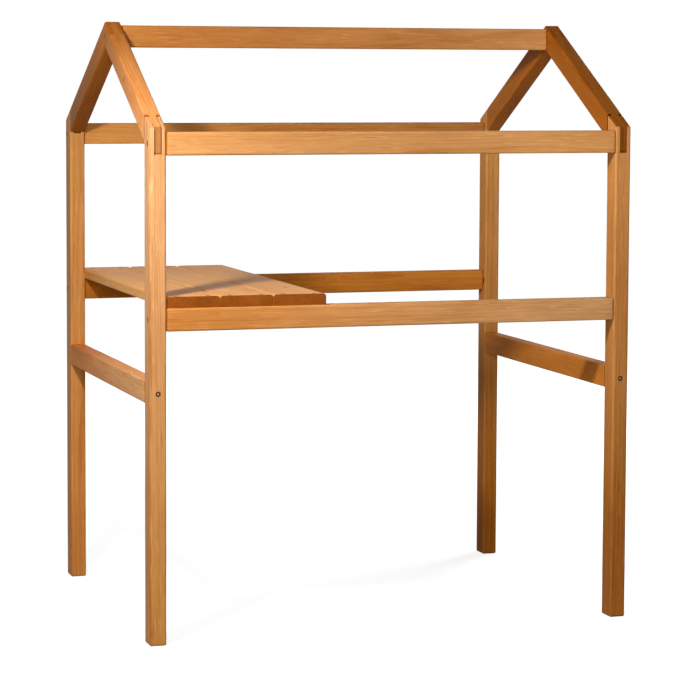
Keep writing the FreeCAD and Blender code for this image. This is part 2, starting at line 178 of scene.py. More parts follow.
@dataclass(frozen=True)
class Tone:
    """Factors on the colour of one timber's finish: the way it took its staining, and for some timbers
    painted light and shade.

    The tone runs from the first end to the last, or is even where no last tone is given, and a bend over 1
    holds the first tone for longer. The edge factor pales the rounded edges as worn edges and painted
    highlight, and where it is under 0 darkens them as painted shade.
    The painted shades darken the faces inside a joint and the walls of countersunk holes, where shade falls
    into the gaps.
    """

    first: Colour
    last: Optional[Colour] = None
    edge_wear_and_light: float = 1.0
    joint_shade: float = 0.38
    hole_shade: float = 0.38
    bend: float = 1.0

    def at(self, share: float) -> Colour:
        """Tone at a place along the timber, blended softly.

        Args:
            share: share of the length, from 0 to 1.

        Returns:
            The factor on each colour channel.
        """
        bent = share ** self.bend
        soft = bent * bent * (3.0 - 2.0 * bent)
        return tuple(one + (two - one) * soft for one, two in zip(self.first, self.last or self.first))


class NodeSheet:
    """Short way to write a node tree."""

    def __init__(self, tree: bpy.types.NodeTree) -> None:
        """Start on an emptied tree."""
        self.tree = tree
        tree.nodes.clear()

    def add(self, kind: str, **settings: object) -> bpy.types.Node:
        """Add a node.

        Args:
            kind: the node's type name.
            settings: attributes of the node.

        Returns:
            The new node.
        """
        node = self.tree.nodes.new(kind)
        for name, value in settings.items():
            setattr(node, name, value)
        return node

    def put(self, value: object, socket: bpy.types.NodeSocket) -> None:
        """Link a socket to an input, or set the input to a constant.

        Args:
            value: socket or constant.
            socket: the input.
        """
        if isinstance(value, bpy.types.NodeSocket):
            self.tree.links.new(value, socket)
        else:
            socket.default_value = value

    def math(self, operation: str, first: object, second: object = 0.0,
             clamp: bool = False) -> bpy.types.NodeSocket:
        """Math node.

        Args:
            operation: name of the operation.
            first: socket or number.
            second: socket or number.
            clamp: keep the result between 0 and 1.

        Returns:
            The result socket.
        """
        node = self.add("ShaderNodeMath", operation=operation, use_clamp=clamp)
        self.put(first, node.inputs[0])
        self.put(second, node.inputs[1])
        return node.outputs[0]

    def scaled(self, vector: bpy.types.NodeSocket, factor: Sequence[float]) -> bpy.types.NodeSocket:
        """Vector times a constant vector.

        Args:
            vector: socket to read.
            factor: factor along each axis.

        Returns:
            The scaled vector.
        """
        node = self.add("ShaderNodeVectorMath", operation="MULTIPLY")
        self.put(vector, node.inputs[0])
        self.put(tuple(factor), node.inputs[1])
        return node.outputs[0]

    def noise(self, vector: bpy.types.NodeSocket, factor: Sequence[float], detail: float, rough: float = 0.5,
              twist: float = 0.0) -> bpy.types.NodeSocket:
        """Noise stretched by a factor along each axis.

        Args:
            vector: coordinates in metres.
            factor: cells for each metre, along each axis.
            detail: octaves.
            rough: strength of the finer octaves.
            twist: distortion.

        Returns:
            The grey value, from 0 to 1.
        """
        node = self.add("ShaderNodeTexNoise", noise_dimensions="3D")
        self.put(self.scaled(vector, factor), node.inputs["Vector"])
        node.inputs["Scale"].default_value = 1.0
        node.inputs["Detail"].default_value = detail
        node.inputs["Roughness"].default_value = rough
        node.inputs["Distortion"].default_value = twist
        return node.outputs["Fac"]

    def ramp(self, value: bpy.types.NodeSocket, low: float, high: float, start: float = 0.0,
             end: float = 1.0) -> bpy.types.NodeSocket:
        """Smooth step of a value.

        Args:
            value: socket to read.
            low: value that gives start.
            high: value that gives end.
            start: result at and below low.
            end: result at and above high.

        Returns:
            The stepped value.
        """
        node = self.add("ShaderNodeMapRange", interpolation_type="SMOOTHSTEP")
        names = ("Value", "From Min", "From Max", "To Min", "To Max")
        for name, item in zip(names, (value, low, high, start, end)):
            self.put(item, node.inputs[name])
        return node.outputs["Result"]

    def mix(self, share: object, first: object, second: object, blend: str = "MIX") -> bpy.types.NodeSocket:
        """Mix of two colours.

        Args:
            share: socket or number, 0 for the first colour.
            first: socket or colour.
            second: socket or colour.
            blend: blend type.

        Returns:
            The mixed colour.
        """
        node = self.add("ShaderNodeMix", data_type="RGBA", blend_type=blend)
        self.put(share, node.inputs[0])
        for item, socket in ((first, node.inputs[6]), (second, node.inputs[7])):
            self.put(item if isinstance(item, bpy.types.NodeSocket) else (*item, 1.0), socket)
        return node.outputs[2]


@dataclass(frozen=True)
class StainedTimber:
    """Stained and oiled softwood, as a solid pattern of rings, fibres, small knots and drying checks.

    The pattern reads three attributes of the mesh: grain, the place in the log; the staining with its painted
    light and shade, as the tone of the piece; and arris, the rounded edges, which grow paler as worn edges
    and painted highlight, and darker as painted shade where the value is under 0. What darkens the wood moves
    it from the pale to the deep colour.
    """

    name: str
    pale: Colour
    deep: Colour
    knot: Colour = (0.12, 0.036, 0.008)
    ring_pitch: float = 0.0036
    ring_contrast: float = 0.24
    fibre_contrast: float = 0.28
    streak_contrast: float = 0.18
    dash_contrast: float = 0.26
    cloud_contrast: float = 0.55
    middle: float = 0.42
    roughness: float = 0.44
    gloss: float = 0.015
    bump: float = 0.14

    def material(self) -> bpy.types.Material:
        """Build the finish as a node material.

        Returns:
            The material.
        """
        made = bpy.data.materials.new(self.name)
        made.use_nodes = True
        sheet = NodeSheet(made.node_tree)
        grain = sheet.add("ShaderNodeAttribute", attribute_name="grain").outputs["Vector"]
        stain = sheet.add("ShaderNodeAttribute", attribute_name="stain").outputs["Color"]
        arris = sheet.add("ShaderNodeAttribute", attribute_name="arris").outputs["Fac"]

        knot, swirl = self._knots(sheet, grain)
        late = self._rings(sheet, grain, swirl)
        fibre = sheet.noise(grain, (760.0, 760.0, 11.0), 3.0, 0.62)
        streak = sheet.noise(grain, (170.0, 170.0, 2.4), 3.0, 0.55)
        cloud = sheet.noise(grain, (15.0, 15.0, 3.0), 3.0, 0.55, 0.4)
        check = self._checks(sheet, grain)
        patchy = sheet.ramp(sheet.noise(grain, (60.0, 60.0, 14.0), 2.0), 0.3, 0.62)
        # Rounded edges: paler as worn edges and painted highlight, darker as painted shade where the arris
        # value is under 0
        wear_and_light = sheet.math("MULTIPLY", arris, patchy)

        tone = sheet.math("MULTIPLY_ADD", late, self.ring_contrast)
        sheet.put(self.middle - 0.36 * self.ring_contrast, tone.node.inputs[2])
        contrasts = (self.fibre_contrast, self.streak_contrast, self.cloud_contrast)
        for value, share in zip((fibre, streak, cloud), contrasts):
            part = sheet.math("MULTIPLY", sheet.math("SUBTRACT", value, 0.5), 2.0 * share)
            tone = sheet.math("ADD", tone, part)
        tone = sheet.math("ADD", tone, self._dashes(sheet, grain))
        tone = sheet.math("ADD", tone, sheet.math("MULTIPLY", wear_and_light, -0.14), clamp=True)
        colour = sheet.mix(tone, self.pale, self.deep)
        # The attribute's factor multiplies in the timber's tone: its staining with painted light and shade,
        # and the painted shade of joints and holes
        colour = sheet.mix(1.0, colour, stain, "MULTIPLY")
        colour = sheet.mix(sheet.math("MULTIPLY", knot, 0.86), colour, self.knot)
        colour = sheet.mix(sheet.math("MULTIPLY", check, 0.7), colour, self.knot)

        shine = sheet.math("ADD", sheet.ramp(fibre, 0.3, 0.7, self.roughness + 0.07, self.roughness - 0.04),
                           sheet.math("MULTIPLY", late, -0.05))
        height = sheet.math("ADD", sheet.math("MULTIPLY", fibre, 0.7), sheet.math("MULTIPLY", late, 0.3))
        height = sheet.math("SUBTRACT", height, sheet.math("MULTIPLY", check, 0.9))
        bump = sheet.add("ShaderNodeBump")
        bump.inputs["Strength"].default_value = self.bump
        bump.inputs["Distance"].default_value = 0.0006
        sheet.put(height, bump.inputs["Height"])

        shader = sheet.add("ShaderNodeBsdfPrincipled")
        sheet.put(colour, shader.inputs["Base Color"])
        sheet.put(shine, shader.inputs["Roughness"])
        sheet.put(bump.outputs["Normal"], shader.inputs["Normal"])
        shader.inputs["Specular IOR Level"].default_value = self.gloss
        output = sheet.add("ShaderNodeOutputMaterial")
        sheet.put(shader.outputs["BSDF"], output.inputs["Surface"])
        return made

    def _dashes(self, sheet: NodeSheet, grain: bpy.types.NodeSocket) -> bpy.types.NodeSocket:
        """Short dark and light dashes along the grain.

        Args:
            sheet: the tree to write in.
            grain: coordinates in the log.

        Returns:
            The change of tone.
        """
        dark = sheet.ramp(sheet.noise(grain, (420.0, 420.0, 18.0), 1.0), 0.62, 0.74)
        light = sheet.ramp(sheet.noise(grain, (380.0, 380.0, 26.0), 1.0), 0.30, 0.40, 1.0, 0.0)
        return sheet.math("MULTIPLY", sheet.math("SUBTRACT", dark, light), self.dash_contrast)

    def _knots(self, sheet: NodeSheet,
               grain: bpy.types.NodeSocket) -> tuple[bpy.types.NodeSocket, bpy.types.NodeSocket]:
        """Small knots, few and far between.

        Args:
            sheet: the tree to write in.
            grain: coordinates in the log.

        Returns:
            The knot's mask, and the bulge that the rings make round it.
        """
        spread = (9.0, 9.0, 2.4)
        cells = sheet.add("ShaderNodeTexVoronoi", voronoi_dimensions="3D", feature="F1")
        place = sheet.scaled(grain, spread)
        sheet.put(place, cells.inputs["Vector"])
        cells.inputs["Scale"].default_value = 1.0
        offset = sheet.add("ShaderNodeVectorMath", operation="SUBTRACT")
        sheet.put(place, offset.inputs[0])
        sheet.put(cells.outputs["Position"], offset.inputs[1])
        length = sheet.add("ShaderNodeVectorMath", operation="LENGTH")
        sheet.put(sheet.scaled(offset.outputs[0], tuple(1.0 / item for item in spread)), length.inputs[0])
        away = length.outputs["Value"]
        rough_edge = sheet.noise(grain, (240.0, 240.0, 160.0), 2.0)
        ragged = sheet.math("ADD", away, sheet.math("MULTIPLY", rough_edge, 0.0024))
        return sheet.ramp(ragged, 0.0052, 0.0086, 1.0, 0.0), sheet.ramp(away, 0.004, 0.03, 1.0, 0.0)

    def _rings(self, sheet: NodeSheet, grain: bpy.types.NodeSocket,
               swirl: bpy.types.NodeSocket) -> bpy.types.NodeSocket:
        """Late wood of the rings round the pith, which runs along the third coordinate.

        Args:
            sheet: the tree to write in.
            grain: coordinates in the log.
            swirl: bulge round the knots.

        Returns:
            The share of late wood, from 0 to 1.
        """
        radius = sheet.add("ShaderNodeVectorMath", operation="LENGTH")
        sheet.put(sheet.scaled(grain, (1.0, 1.0, 0.0)), radius.inputs[0])
        sway = sheet.noise(grain, (7.0, 7.0, 1.5), 2.0)
        ripple = sheet.noise(grain, (70.0, 70.0, 6.0), 2.0)
        place = sheet.math("ADD", radius.outputs["Value"], sheet.math("MULTIPLY", sway, 0.026))
        place = sheet.math("ADD", place, sheet.math("MULTIPLY", ripple, 0.0020))
        place = sheet.math("ADD", place, sheet.math("MULTIPLY", swirl, 0.009))
        turn = sheet.math("DIVIDE", place, self.ring_pitch)
        phase = sheet.math("FRACT", turn)
        year = sheet.add("ShaderNodeTexWhiteNoise", noise_dimensions="1D")
        sheet.put(sheet.math("FLOOR", turn), year.inputs["W"])
        rise = sheet.ramp(phase, 0.25, 0.86)
        fall = sheet.ramp(phase, 0.93, 1.0, 1.0, 0.0)
        strength = sheet.ramp(year.outputs["Value"], 0.0, 1.0, 0.3, 1.0)
        return sheet.math("MULTIPLY", sheet.math("MULTIPLY", rise, fall), strength)

    def _checks(self, sheet: NodeSheet, grain: bpy.types.NodeSocket) -> bpy.types.NodeSocket:
        """Hair-thin drying checks along the grain.

        Args:
            sheet: the tree to write in.
            grain: coordinates in the log.

        Returns:
            The mask of the checks.
        """
        line = sheet.noise(grain, (52.0, 52.0, 1.1), 1.0)
        near = sheet.math("ABSOLUTE", sheet.math("SUBTRACT", line, 0.5))
        thin = sheet.ramp(near, 0.0, 0.0055, 1.0, 0.0)
        where = sheet.noise(grain, (21.0, 21.0, 3.4), 1.0)
        return sheet.math("MULTIPLY", thin, sheet.ramp(where, 0.67, 0.72))


@dataclass(frozen=True)
class PlatedSteel:
    """Plated steel of the screws, a little dull and uneven, with painted shade toward the rim of the heads,
    where the countersink's rim throws its shadow.

    The attribute own holds the place in the screw's own axes.
    """

    name: str
    colour: Colour
    tarnish: Colour
    rim_shade: Colour
    bare_radius: float = 0.0010
    rim_shade_radius: float = 0.0024

    def material(self) -> bpy.types.Material:
        """Build the finish as a node material.

        Returns:
            The material.
        """
        made = bpy.data.materials.new(self.name)
        made.use_nodes = True
        sheet = NodeSheet(made.node_tree)
        place = sheet.add("ShaderNodeTexCoord").outputs["Object"]
        dull = sheet.noise(place, (900.0, 900.0, 900.0), 3.0, 0.6)
        own = sheet.add("ShaderNodeAttribute", attribute_name="own").outputs["Vector"]
        radius = sheet.add("ShaderNodeVectorMath", operation="LENGTH")
        sheet.put(sheet.scaled(own, (1.0, 1.0, 0.0)), radius.inputs[0])
        # Painted shade toward the rim of the head: dark and not metallic
        rim_shade_share = sheet.ramp(radius.outputs["Value"], self.bare_radius, self.rim_shade_radius)
        colour = sheet.mix(sheet.ramp(dull, 0.35, 0.7), self.colour, self.tarnish)
        shader = sheet.add("ShaderNodeBsdfPrincipled")
        sheet.put(sheet.mix(rim_shade_share, colour, self.rim_shade), shader.inputs["Base Color"])
        sheet.put(sheet.ramp(dull, 0.3, 0.7, 0.26, 0.46), shader.inputs["Roughness"])
        sheet.put(sheet.math("SUBTRACT", 1.0, rim_shade_share), shader.inputs["Metallic"])
        shader.inputs["Specular IOR Level"].default_value = 0.1
        output = sheet.add("ShaderNodeOutputMaterial")
        sheet.put(shader.outputs["BSDF"], output.inputs["Surface"])
        return made


def new_object(name: str, mesh: bpy.types.Mesh) -> bpy.types.Object:
    """Object for a mesh, linked to the scene.

    Args:
        name: object name.
        mesh: the mesh.

    Returns:
        The object.
    """
    made = bpy.data.objects.new(name, mesh)
    bpy.context.scene.collection.objects.link(made)
    return made


def solid_of(name: str, verts: Sequence[Vector], faces: Sequence[Sequence[int]]) -> bpy.types.Object:
    """Closed helper solid with its faces turned outwards.

    Args:
        name: object name.
        verts: corners.
        faces: corner numbers of each face.

    Returns:
        The object.
    """
    shape = bmesh.new()
    made = [shape.verts.new(item) for item in verts]
    for face in faces:
        shape.faces.new([made[index] for index in face])
    bmesh.ops.recalc_face_normals(shape, faces=shape.faces)
    mesh = bpy.data.meshes.new(name)
    shape.to_mesh(mesh)
    shape.free()
    return new_object(name, mesh)


def tube_faces(rings: int, count: int) -> list[list[int]]:
    """Faces of a closed tube through rings of points that follow each other.

    Args:
        rings: number of rings.
        count: points in each ring.

    Returns:
        Point numbers of each face: the walls, then the two ends.
    """
    faces: list[list[int]] = []
    for base in range(0, (rings - 1) * count, count):
        for step in range(count):
            following = (step + 1) % count
            faces.append([base + step, base + following, base + count + following, base + count + step])
    faces.append(list(range(count)))
    faces.append(list(range((rings - 1) * count, rings * count)))
    return faces


def side_prism(name: str, outline: Sequence[Pair], low: float, high: float) -> bpy.types.Object:
    """Prism along X with its outline drawn in Y and Z.

    Args:
        name: object name.
        outline: corners as Y and Z.
        low: X of one end.
        high: X of the other end.

    Returns:
        The prism.
    """
    verts = [Vector((across, *point)) for across in (low, high) for point in outline]
    return solid_of(name, verts, tube_faces(2, len(outline)))


def rounding(name: str, corner: Vector, along: Vector, normals: tuple[Vector, Vector],
             radius: float) -> bpy.types.Object:
    """Helper solid outside the rounding of an edge between two square faces.

    Args:
        name: object name.
        corner: a point of the sharp edge.
        along: direction of the edge.
        normals: outward normals of the two faces.
        radius: radius of the rounding.

    Returns:
        The helper solid.
    """
    outside, reach, steps = 0.002, 0.12, 6
    first, second = normals
    points = [corner + (first + second) * outside]
    for step in range(steps + 1):
        angle = math.pi / 2 * step / steps
        away = first * (math.cos(angle) - 1.0) + second * (math.sin(angle) - 1.0)
        points.append(corner + away * radius)
    verts = [point + along * end for end in (-reach, reach) for point in points]
    return solid_of(name, verts, tube_faces(2, len(points)))


def turned_solid(name: str, place: Vector, inward: Vector, profile: Sequence[Pair],
                 steps: int = 28) -> bpy.types.Object:
    """Solid of revolution.

    Args:
        name: object name.
        place: where the axis meets the timber's face.
        inward: direction of the axis into the timber.
        profile: radius and depth pairs, from outside to inside.
        steps: sides of the circle.

    Returns:
        The solid.
    """
    turn = inward.to_track_quat("Z", "Y")
    verts: list[Vector] = []
    for radius, depth in profile:
        for step in range(steps):
            angle = 2 * math.pi * step / steps
            point = Vector((radius * math.cos(angle), radius * math.sin(angle), depth))
            verts.append(place + turn @ point)
    return solid_of(name, verts, tube_faces(len(profile), steps))


@dataclass(frozen=True)
class ScrewSizes:
    """One kind of countersunk screw, in metres.

    The rim's ease and the neck's fillet are given across and along the screw. The neck's share and the
    thread's depth are shares of the shank's radius, and the blunt end is a share of it and of the point.
    """

    length: float
    shank: float
    head: float
    thread: float
    thread_pitch: float
    sink: float = 0.0008
    clearance: float = 0.0001
    rim_ease: Pair = (0.0003, 0.0002)
    rim_land: float = 0.0005
    neck_fillet: Pair = (0.0002, 0.0003)
    neck_length: float = 0.0012
    neck_share: float = 0.86
    thread_depth: float = 0.26
    point: float = 0.006
    blunt: Pair = (0.45, 0.4)
    drive_span: float = 0.0046
    drive_slot: float = 0.0012
    drive_depth: float = 0.0022
    drive_taper: float = 0.55
    over: float = 0.002

    @property
    def rim(self) -> float:
        """Radius of the countersink at the timber's face."""
        return self.head / 2 + self.sink + self.clearance

    def clearance_hole(self, name: str, place: Vector, inward: Vector, depth: float) -> bpy.types.Object:
        """Countersunk hole as a helper solid.

        Args:
            name: object name.
            place: middle of the hole on the timber's face.
            inward: direction into the timber.
            depth: depth of the hole from the face.

        Returns:
            The helper solid.
        """
        bore = self.shank / 2 + self.clearance
        profile = [(self.rim, -self.over), (self.rim, 0.0), (bore, self.rim - bore), (bore, depth)]
        return turned_solid(name, place, inward, profile)

    def pilot_hole(self, name: str, place: Vector, inward: Vector, depth: float) -> bpy.types.Object:
        """Plain hole as a helper solid.

        Args:
            name: object name.
            place: middle of the hole on the timber's face.
            inward: direction into the timber.
            depth: depth of the hole from the face.

        Returns:
            The helper solid.
        """
        bore = self.shank / 2 + self.clearance
        return turned_solid(name, place, inward, [(bore, -self.over), (bore, depth)], steps=20)

    def template(self, name: str, steel: bpy.types.Material) -> bpy.types.Object:
        """One screw, head at the origin and point along minus Z, with a helical thread and a cross recess.

        Args:
            name: object name.
            steel: finish.

        Returns:
            The screw.
        """
        steps = 16
        head, shank = self.head / 2, self.shank / 2
        cone = head - shank
        rows: list[tuple[float, float, bool]] = [
            (head - self.rim_ease[0], 0.0, False),
            (head, -self.rim_ease[1], False),
            (head, -self.rim_land, False),
            (shank + self.neck_fillet[0], -cone - self.neck_fillet[1], False),
            (shank * self.neck_share, -cone - self.neck_length, False),
        ]
        start = self.length - self.thread
        turns = (self.thread - self.point) / self.thread_pitch
        for row in range(int(turns * 4) + 1):
            rows.append((shank, -start - row * self.thread_pitch / 4, True))
        rows.append((shank * self.blunt[0], -self.length + self.point * self.blunt[1], False))
        verts: list[Vector] = []
        for radius, depth, threaded in rows:
            for step in range(steps):
                angle = 2 * math.pi * step / steps
                away = radius
                if threaded:
                    wave = (-depth / self.thread_pitch + step / steps) % 1.0
                    away = radius * (1.0 - self.thread_depth * abs(2.0 * wave - 1.0))
                verts.append(Vector((away * math.cos(angle), away * math.sin(angle), depth)))
        faces = tube_faces(len(rows), steps)
        rim = faces.pop()
        tip = len(verts)
        verts.append(Vector((0.0, 0.0, -self.length)))
        faces += [[one, two, tip] for one, two in zip(rim, rim[1:] + rim[:1])]
        screw = solid_of(name, verts, faces)
        carve(screw, self._drive(name))
        set_sharp_edges(screw.data, math.radians(40))
        own = [value for vert in screw.data.vertices for value in vert.co]
        screw.data.attributes.new("own", "FLOAT_VECTOR", "POINT").data.foreach_set("vector", own)
        screw.data.materials.append(steel)
        return screw

    def _drive(self, name: str) -> list[bpy.types.Object]:
        """Two tapered bars that cut the cross recess.

        Args:
            name: object name of the screw.

        Returns:
            Helper solids.
        """
        reach, arm = self.drive_span / 2, self.drive_slot / 2
        levels = ((self.drive_taper, -self.drive_depth), (1.0, self.over / 2))
        bars: list[bpy.types.Object] = []
        for number, (across, along) in enumerate(((reach, arm), (arm, reach))):
            corners = [(-across, -along), (across, -along), (across, along), (-across, along)]
            verts = [Vector((share * x, share * y, height)) for share, height in levels for x, y in corners]
            bars.append(solid_of(f"{name}_drive_{number}", verts, tube_faces(2, len(corners))))
        return bars


FRAME_SCREW = ScrewSizes(length=0.090, shank=0.005, head=0.009, thread=0.055, thread_pitch=0.0026)
BOARD_SCREW = ScrewSizes(length=0.035, shank=0.004, head=0.008, thread=0.022, thread_pitch=0.0020,
                         drive_span=0.0042)


def carve(piece: bpy.types.Object, cutters: Sequence[bpy.types.Object]) -> None:
    """Cut helper solids out of a piece and delete them.

    Args:
        piece: the object to cut; its mesh is replaced.
        cutters: closed helper solids.
    """
    for number, cutter in enumerate(cutters):
        cut = piece.modifiers.new(f"cut_{number}", "BOOLEAN")
        cut.operation = "DIFFERENCE"
        cut.solver = "MANIFOLD"
        cut.object = cutter
    bpy.context.view_layer.update()
    graph = bpy.context.evaluated_depsgraph_get()
    mesh = bpy.data.meshes.new_from_object(piece.evaluated_get(graph))
    piece.modifiers.clear()
    old = piece.data
    piece.data = mesh
    mesh.name = piece.name
    bpy.data.meshes.remove(old)
    for cutter in cutters:
        shape = cutter.data
        bpy.data.objects.remove(cutter)
        bpy.data.meshes.remove(shape)


def set_sharp_edges(mesh: bpy.types.Mesh, angle: float) -> None:
    """Merge doubles and shade smooth, with sharp edges where the faces turn by more than an angle.

    Args:
        mesh: the mesh.
        angle: limit in radians.
    """
    shape = bmesh.new()
    shape.from_mesh(mesh)
    bmesh.ops.remove_doubles(shape, verts=shape.verts, dist=2e-6)
    bmesh.ops.dissolve_degenerate(shape, edges=shape.edges, dist=1e-6)
    for face in shape.faces:
        face.smooth = True
    for edge in shape.edges:
        edge.smooth = len(edge.link_faces) == 2 and edge.calc_face_angle(math.pi) < angle
    shape.to_mesh(mesh)
    shape.free()


@dataclass
class Stick:
    """One planed timber: a rounded section swept along its axis, eased at its ends and cut to its joints.

    The start is the middle of the section at the first end, and wide is the direction of the section's
    second size. The joints are planes, each as a point and a normal, whose faces lie inside a joint and get
    painted shade. The holes are the countersunk ones, each as a place, a direction and the radius of its rim,
    and their walls get painted shade. The waver is a share of the rounding, and the pith lies at a random
    distance in the pith's range.
    """

    name: str
    start: Vector
    axis: Vector
    wide: Vector
    length: float
    section: Pair
    radii: tuple[float, float, float, float]
    stain: Tone
    ease_first: bool = True
    ease_last: bool = True
    ease: float = SIZES.end_ease
    seed: int = 1
    waver: float = 0.16
    waver_pace: float = 9.0
    station_pitch: float = 0.012
    least_round: float = 0.0004
    pith_range: Pair = (0.035, 0.095)
    # Deeper painted shade is also redder, by these powers on each channel
    shade_powers: Colour = (1.0, 1.3, 1.6)
    cutters: list[bpy.types.Object] = field(default_factory=list)
    joints: list[tuple[Vector, Vector]] = field(default_factory=list)
    holes: list[tuple[Vector, Vector, float]] = field(default_factory=list)

    def drill(self, screw: ScrewSizes, place: Vector, inward: Vector, depth: float) -> None:
        """Cut a countersunk hole, whose walls get painted shade.

        Args:
            screw: the screw that goes in.
            place: middle of the hole on the timber's face.
            inward: direction into the timber.
            depth: depth of the hole from the face.
        """
        self.cutters.append(screw.clearance_hole("hole", place, inward, depth))
        self.holes.append((place, inward, screw.rim))

    def frame(self) -> Matrix:
        """Place and turn of the timber.

        Returns:
            The matrix from the timber's own axes to the part's frame.
        """
        across = self.wide.cross(self.axis)
        columns = Matrix((across, self.wide, self.axis)).transposed().to_4x4()
        return Matrix.Translation(self.start) @ columns

    def _outline(self, inset: float, softer: float) -> list[Pair]:
        """Section of the timber.

        Args:
            inset: how far the outline is drawn in.
            softer: factor on the rounding.

        Returns:
            Points of the outline, in order.
        """
        points: list[Pair] = []
        half = (self.section[0] / 2 - inset, self.section[1] / 2 - inset)
        signs = ((1, 1), (-1, 1), (-1, -1), (1, -1))
        support, steps = 0.0016, 6
        for corner, (sign_x, sign_y) in enumerate(signs):
            radius = max(self.radii[corner] * softer - inset, self.least_round)
            centre = (sign_x * (half[0] - radius), sign_y * (half[1] - radius))
            arc: list[Pair] = []
            for step in range(steps + 1):
                angle = math.pi / 2 * (corner + step / steps)
                arc.append((centre[0] + radius * math.cos(angle), centre[1] + radius * math.sin(angle)))
            enter = math.pi / 2 * (corner - 1)
            leave = math.pi / 2 * (corner + 2)
            first = (arc[0][0] + support * math.cos(enter), arc[0][1] + support * math.sin(enter))
            last = (arc[-1][0] + support * math.cos(leave), arc[-1][1] + support * math.sin(leave))
            points += [first, *arc, last]
        return points

    def _stations(self) -> list[Pair]:
        """Stations of the sweep.

        Returns:
            Places along the timber, each with how far the section is drawn in there.
        """
        ease = self.ease
        arc = [math.pi / 2 * step / 4 for step in range(5)]
        first = [(ease * (1 - math.cos(item)), ease * (1 - math.sin(item))) for item in arc]
        stations = list(first) if self.ease_first else [(0.0, 0.0)]
        count = max(2, int(self.length / self.station_pitch))
        for step in range(1, count):
            stations.append((self.length * step / count, 0.0))
        if self.ease_last:
            stations += [(self.length - along, inset) for along, inset in reversed(first)]
        else:
            stations.append((self.length, 0.0))
        return stations

    def build(self, finishes: Sequence[bpy.types.Material]) -> bpy.types.Object:
        """Make the timber, cut its joints and write its wood attributes.

        Args:
            finishes: side grain and end grain.

        Returns:
            The finished piece, at the origin.
        """
        place = self.frame()
        chance = random.Random(self.seed)
        shift = chance.uniform(0.0, 50.0)
        verts: list[Vector] = []
        stations = self._stations()
        for along, inset in stations:
            softer = 1.0 + self.waver * noise.noise(Vector((along * self.waver_pace, shift, 0.0)))
            outline = self._outline(inset, softer)
            verts += [place @ Vector((across, up, along)) for across, up in outline]
        piece = solid_of(self.name, verts, tube_faces(len(stations), len(verts) // len(stations)))
        if self.cutters:
            carve(piece, self.cutters)
        set_sharp_edges(piece.data, math.radians(32))
        self._dress(piece, finishes, chance)
        return piece

    def _dress(self, piece: bpy.types.Object, finishes: Sequence[bpy.types.Material],
               chance: random.Random) -> None:
        """Write the wood attributes, with painted shade on the faces inside joints and holes, and share the
        faces between side grain and end grain.

        Args:
            piece: the timber.
            finishes: side grain and end grain.
            chance: the timber's own random numbers.
        """
        mesh = piece.data
        mesh.materials.clear()
        for finish in finishes:
            mesh.materials.append(finish)
        for face in mesh.polygons:
            face.material_index = 1 if abs(face.normal.dot(self.axis)) > 0.5 else 0
        angle = chance.uniform(0.0, 2.0 * math.pi)
        away = chance.uniform(*self.pith_range)
        pith = Vector((away * math.cos(angle), away * math.sin(angle), chance.uniform(0.0, 40.0)))
        back = self.frame().inverted()
        grain: list[float] = []
        arris: list[float] = []
        tone: list[Colour] = []
        radius = max(self.radii)
        fade = 0.3 * radius
        for vert in mesh.vertices:
            own = back @ vert.co
            grain.extend(own + pith)
            over = min(abs(own.x) - self.section[0] / 2 + radius, abs(own.y) - self.section[1] / 2 + radius)
            arris.append(self.stain.edge_wear_and_light * min(1.0, max(0.0, over / fade)))
            tone.append(self.stain.at(min(1.0, max(0.0, own.z / self.length))))
        mesh.attributes.new("grain", "FLOAT_VECTOR", "POINT").data.foreach_set("vector", grain)
        mesh.attributes.new("arris", "FLOAT", "POINT").data.foreach_set("value", arris)
        corner_tone: list[float] = []
        # Painted shade on the faces inside joints and on the walls of holes
        for face in mesh.polygons:
            shade = 1.0
            if self._in_hole(face):
                shade = self.stain.hole_shade
            elif self._in_joint(face):
                shade = self.stain.joint_shade
            for vertex in face.vertices:
                shaded = [value * shade ** power for value, power in zip(tone[vertex], self.shade_powers)]
                corner_tone += [*shaded, 1.0]
        mesh.attributes.new("stain", "FLOAT_COLOR", "CORNER").data.foreach_set("color", corner_tone)

    def _in_joint(self, face: bpy.types.MeshPolygon) -> bool:
        """Whether a face lies in one of the joint planes."""
        planes = [plane for plane in self.joints if abs(face.normal.dot(plane[1])) > 0.99]
        return any(abs((face.center - point).dot(normal)) < 1e-4 for point, normal in planes)

    def _in_hole(self, face: bpy.types.MeshPolygon) -> bool:
        """Whether a face lies on the wall of a countersunk hole.

        Args:
            face: the face.

        Returns:
            True on the wall of a hole.
        """
        for place, inward, rim in self.holes:
            away = face.center - place
            depth = away.dot(inward)
            if depth > 5e-5 and (away - inward * depth).length < rim:
                return True
        return False


def show(piece: bpy.types.Object, node: str) -> None:
    """Let a finished piece stand for a node of the solids.

    Args:
        piece: the finished piece.
        node: the node that it replaces.
    """
    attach(piece, "root")
    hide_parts(node)
    LOG.info("%s: %d faces, in place of %s", piece.name, len(piece.data.polygons), node)


X_AXIS = Vector((1.0, 0.0, 0.0))
Y_AXIS = Vector((0.0, 1.0, 0.0))
Z_AXIS = Vector((0.0, 0.0, 1.0))

# Reach of the helper solids: past the frame, past the sides of a timber, past the end of a through hole
FAR = 0.3
MARGIN = 0.05
THROUGH = 0.007


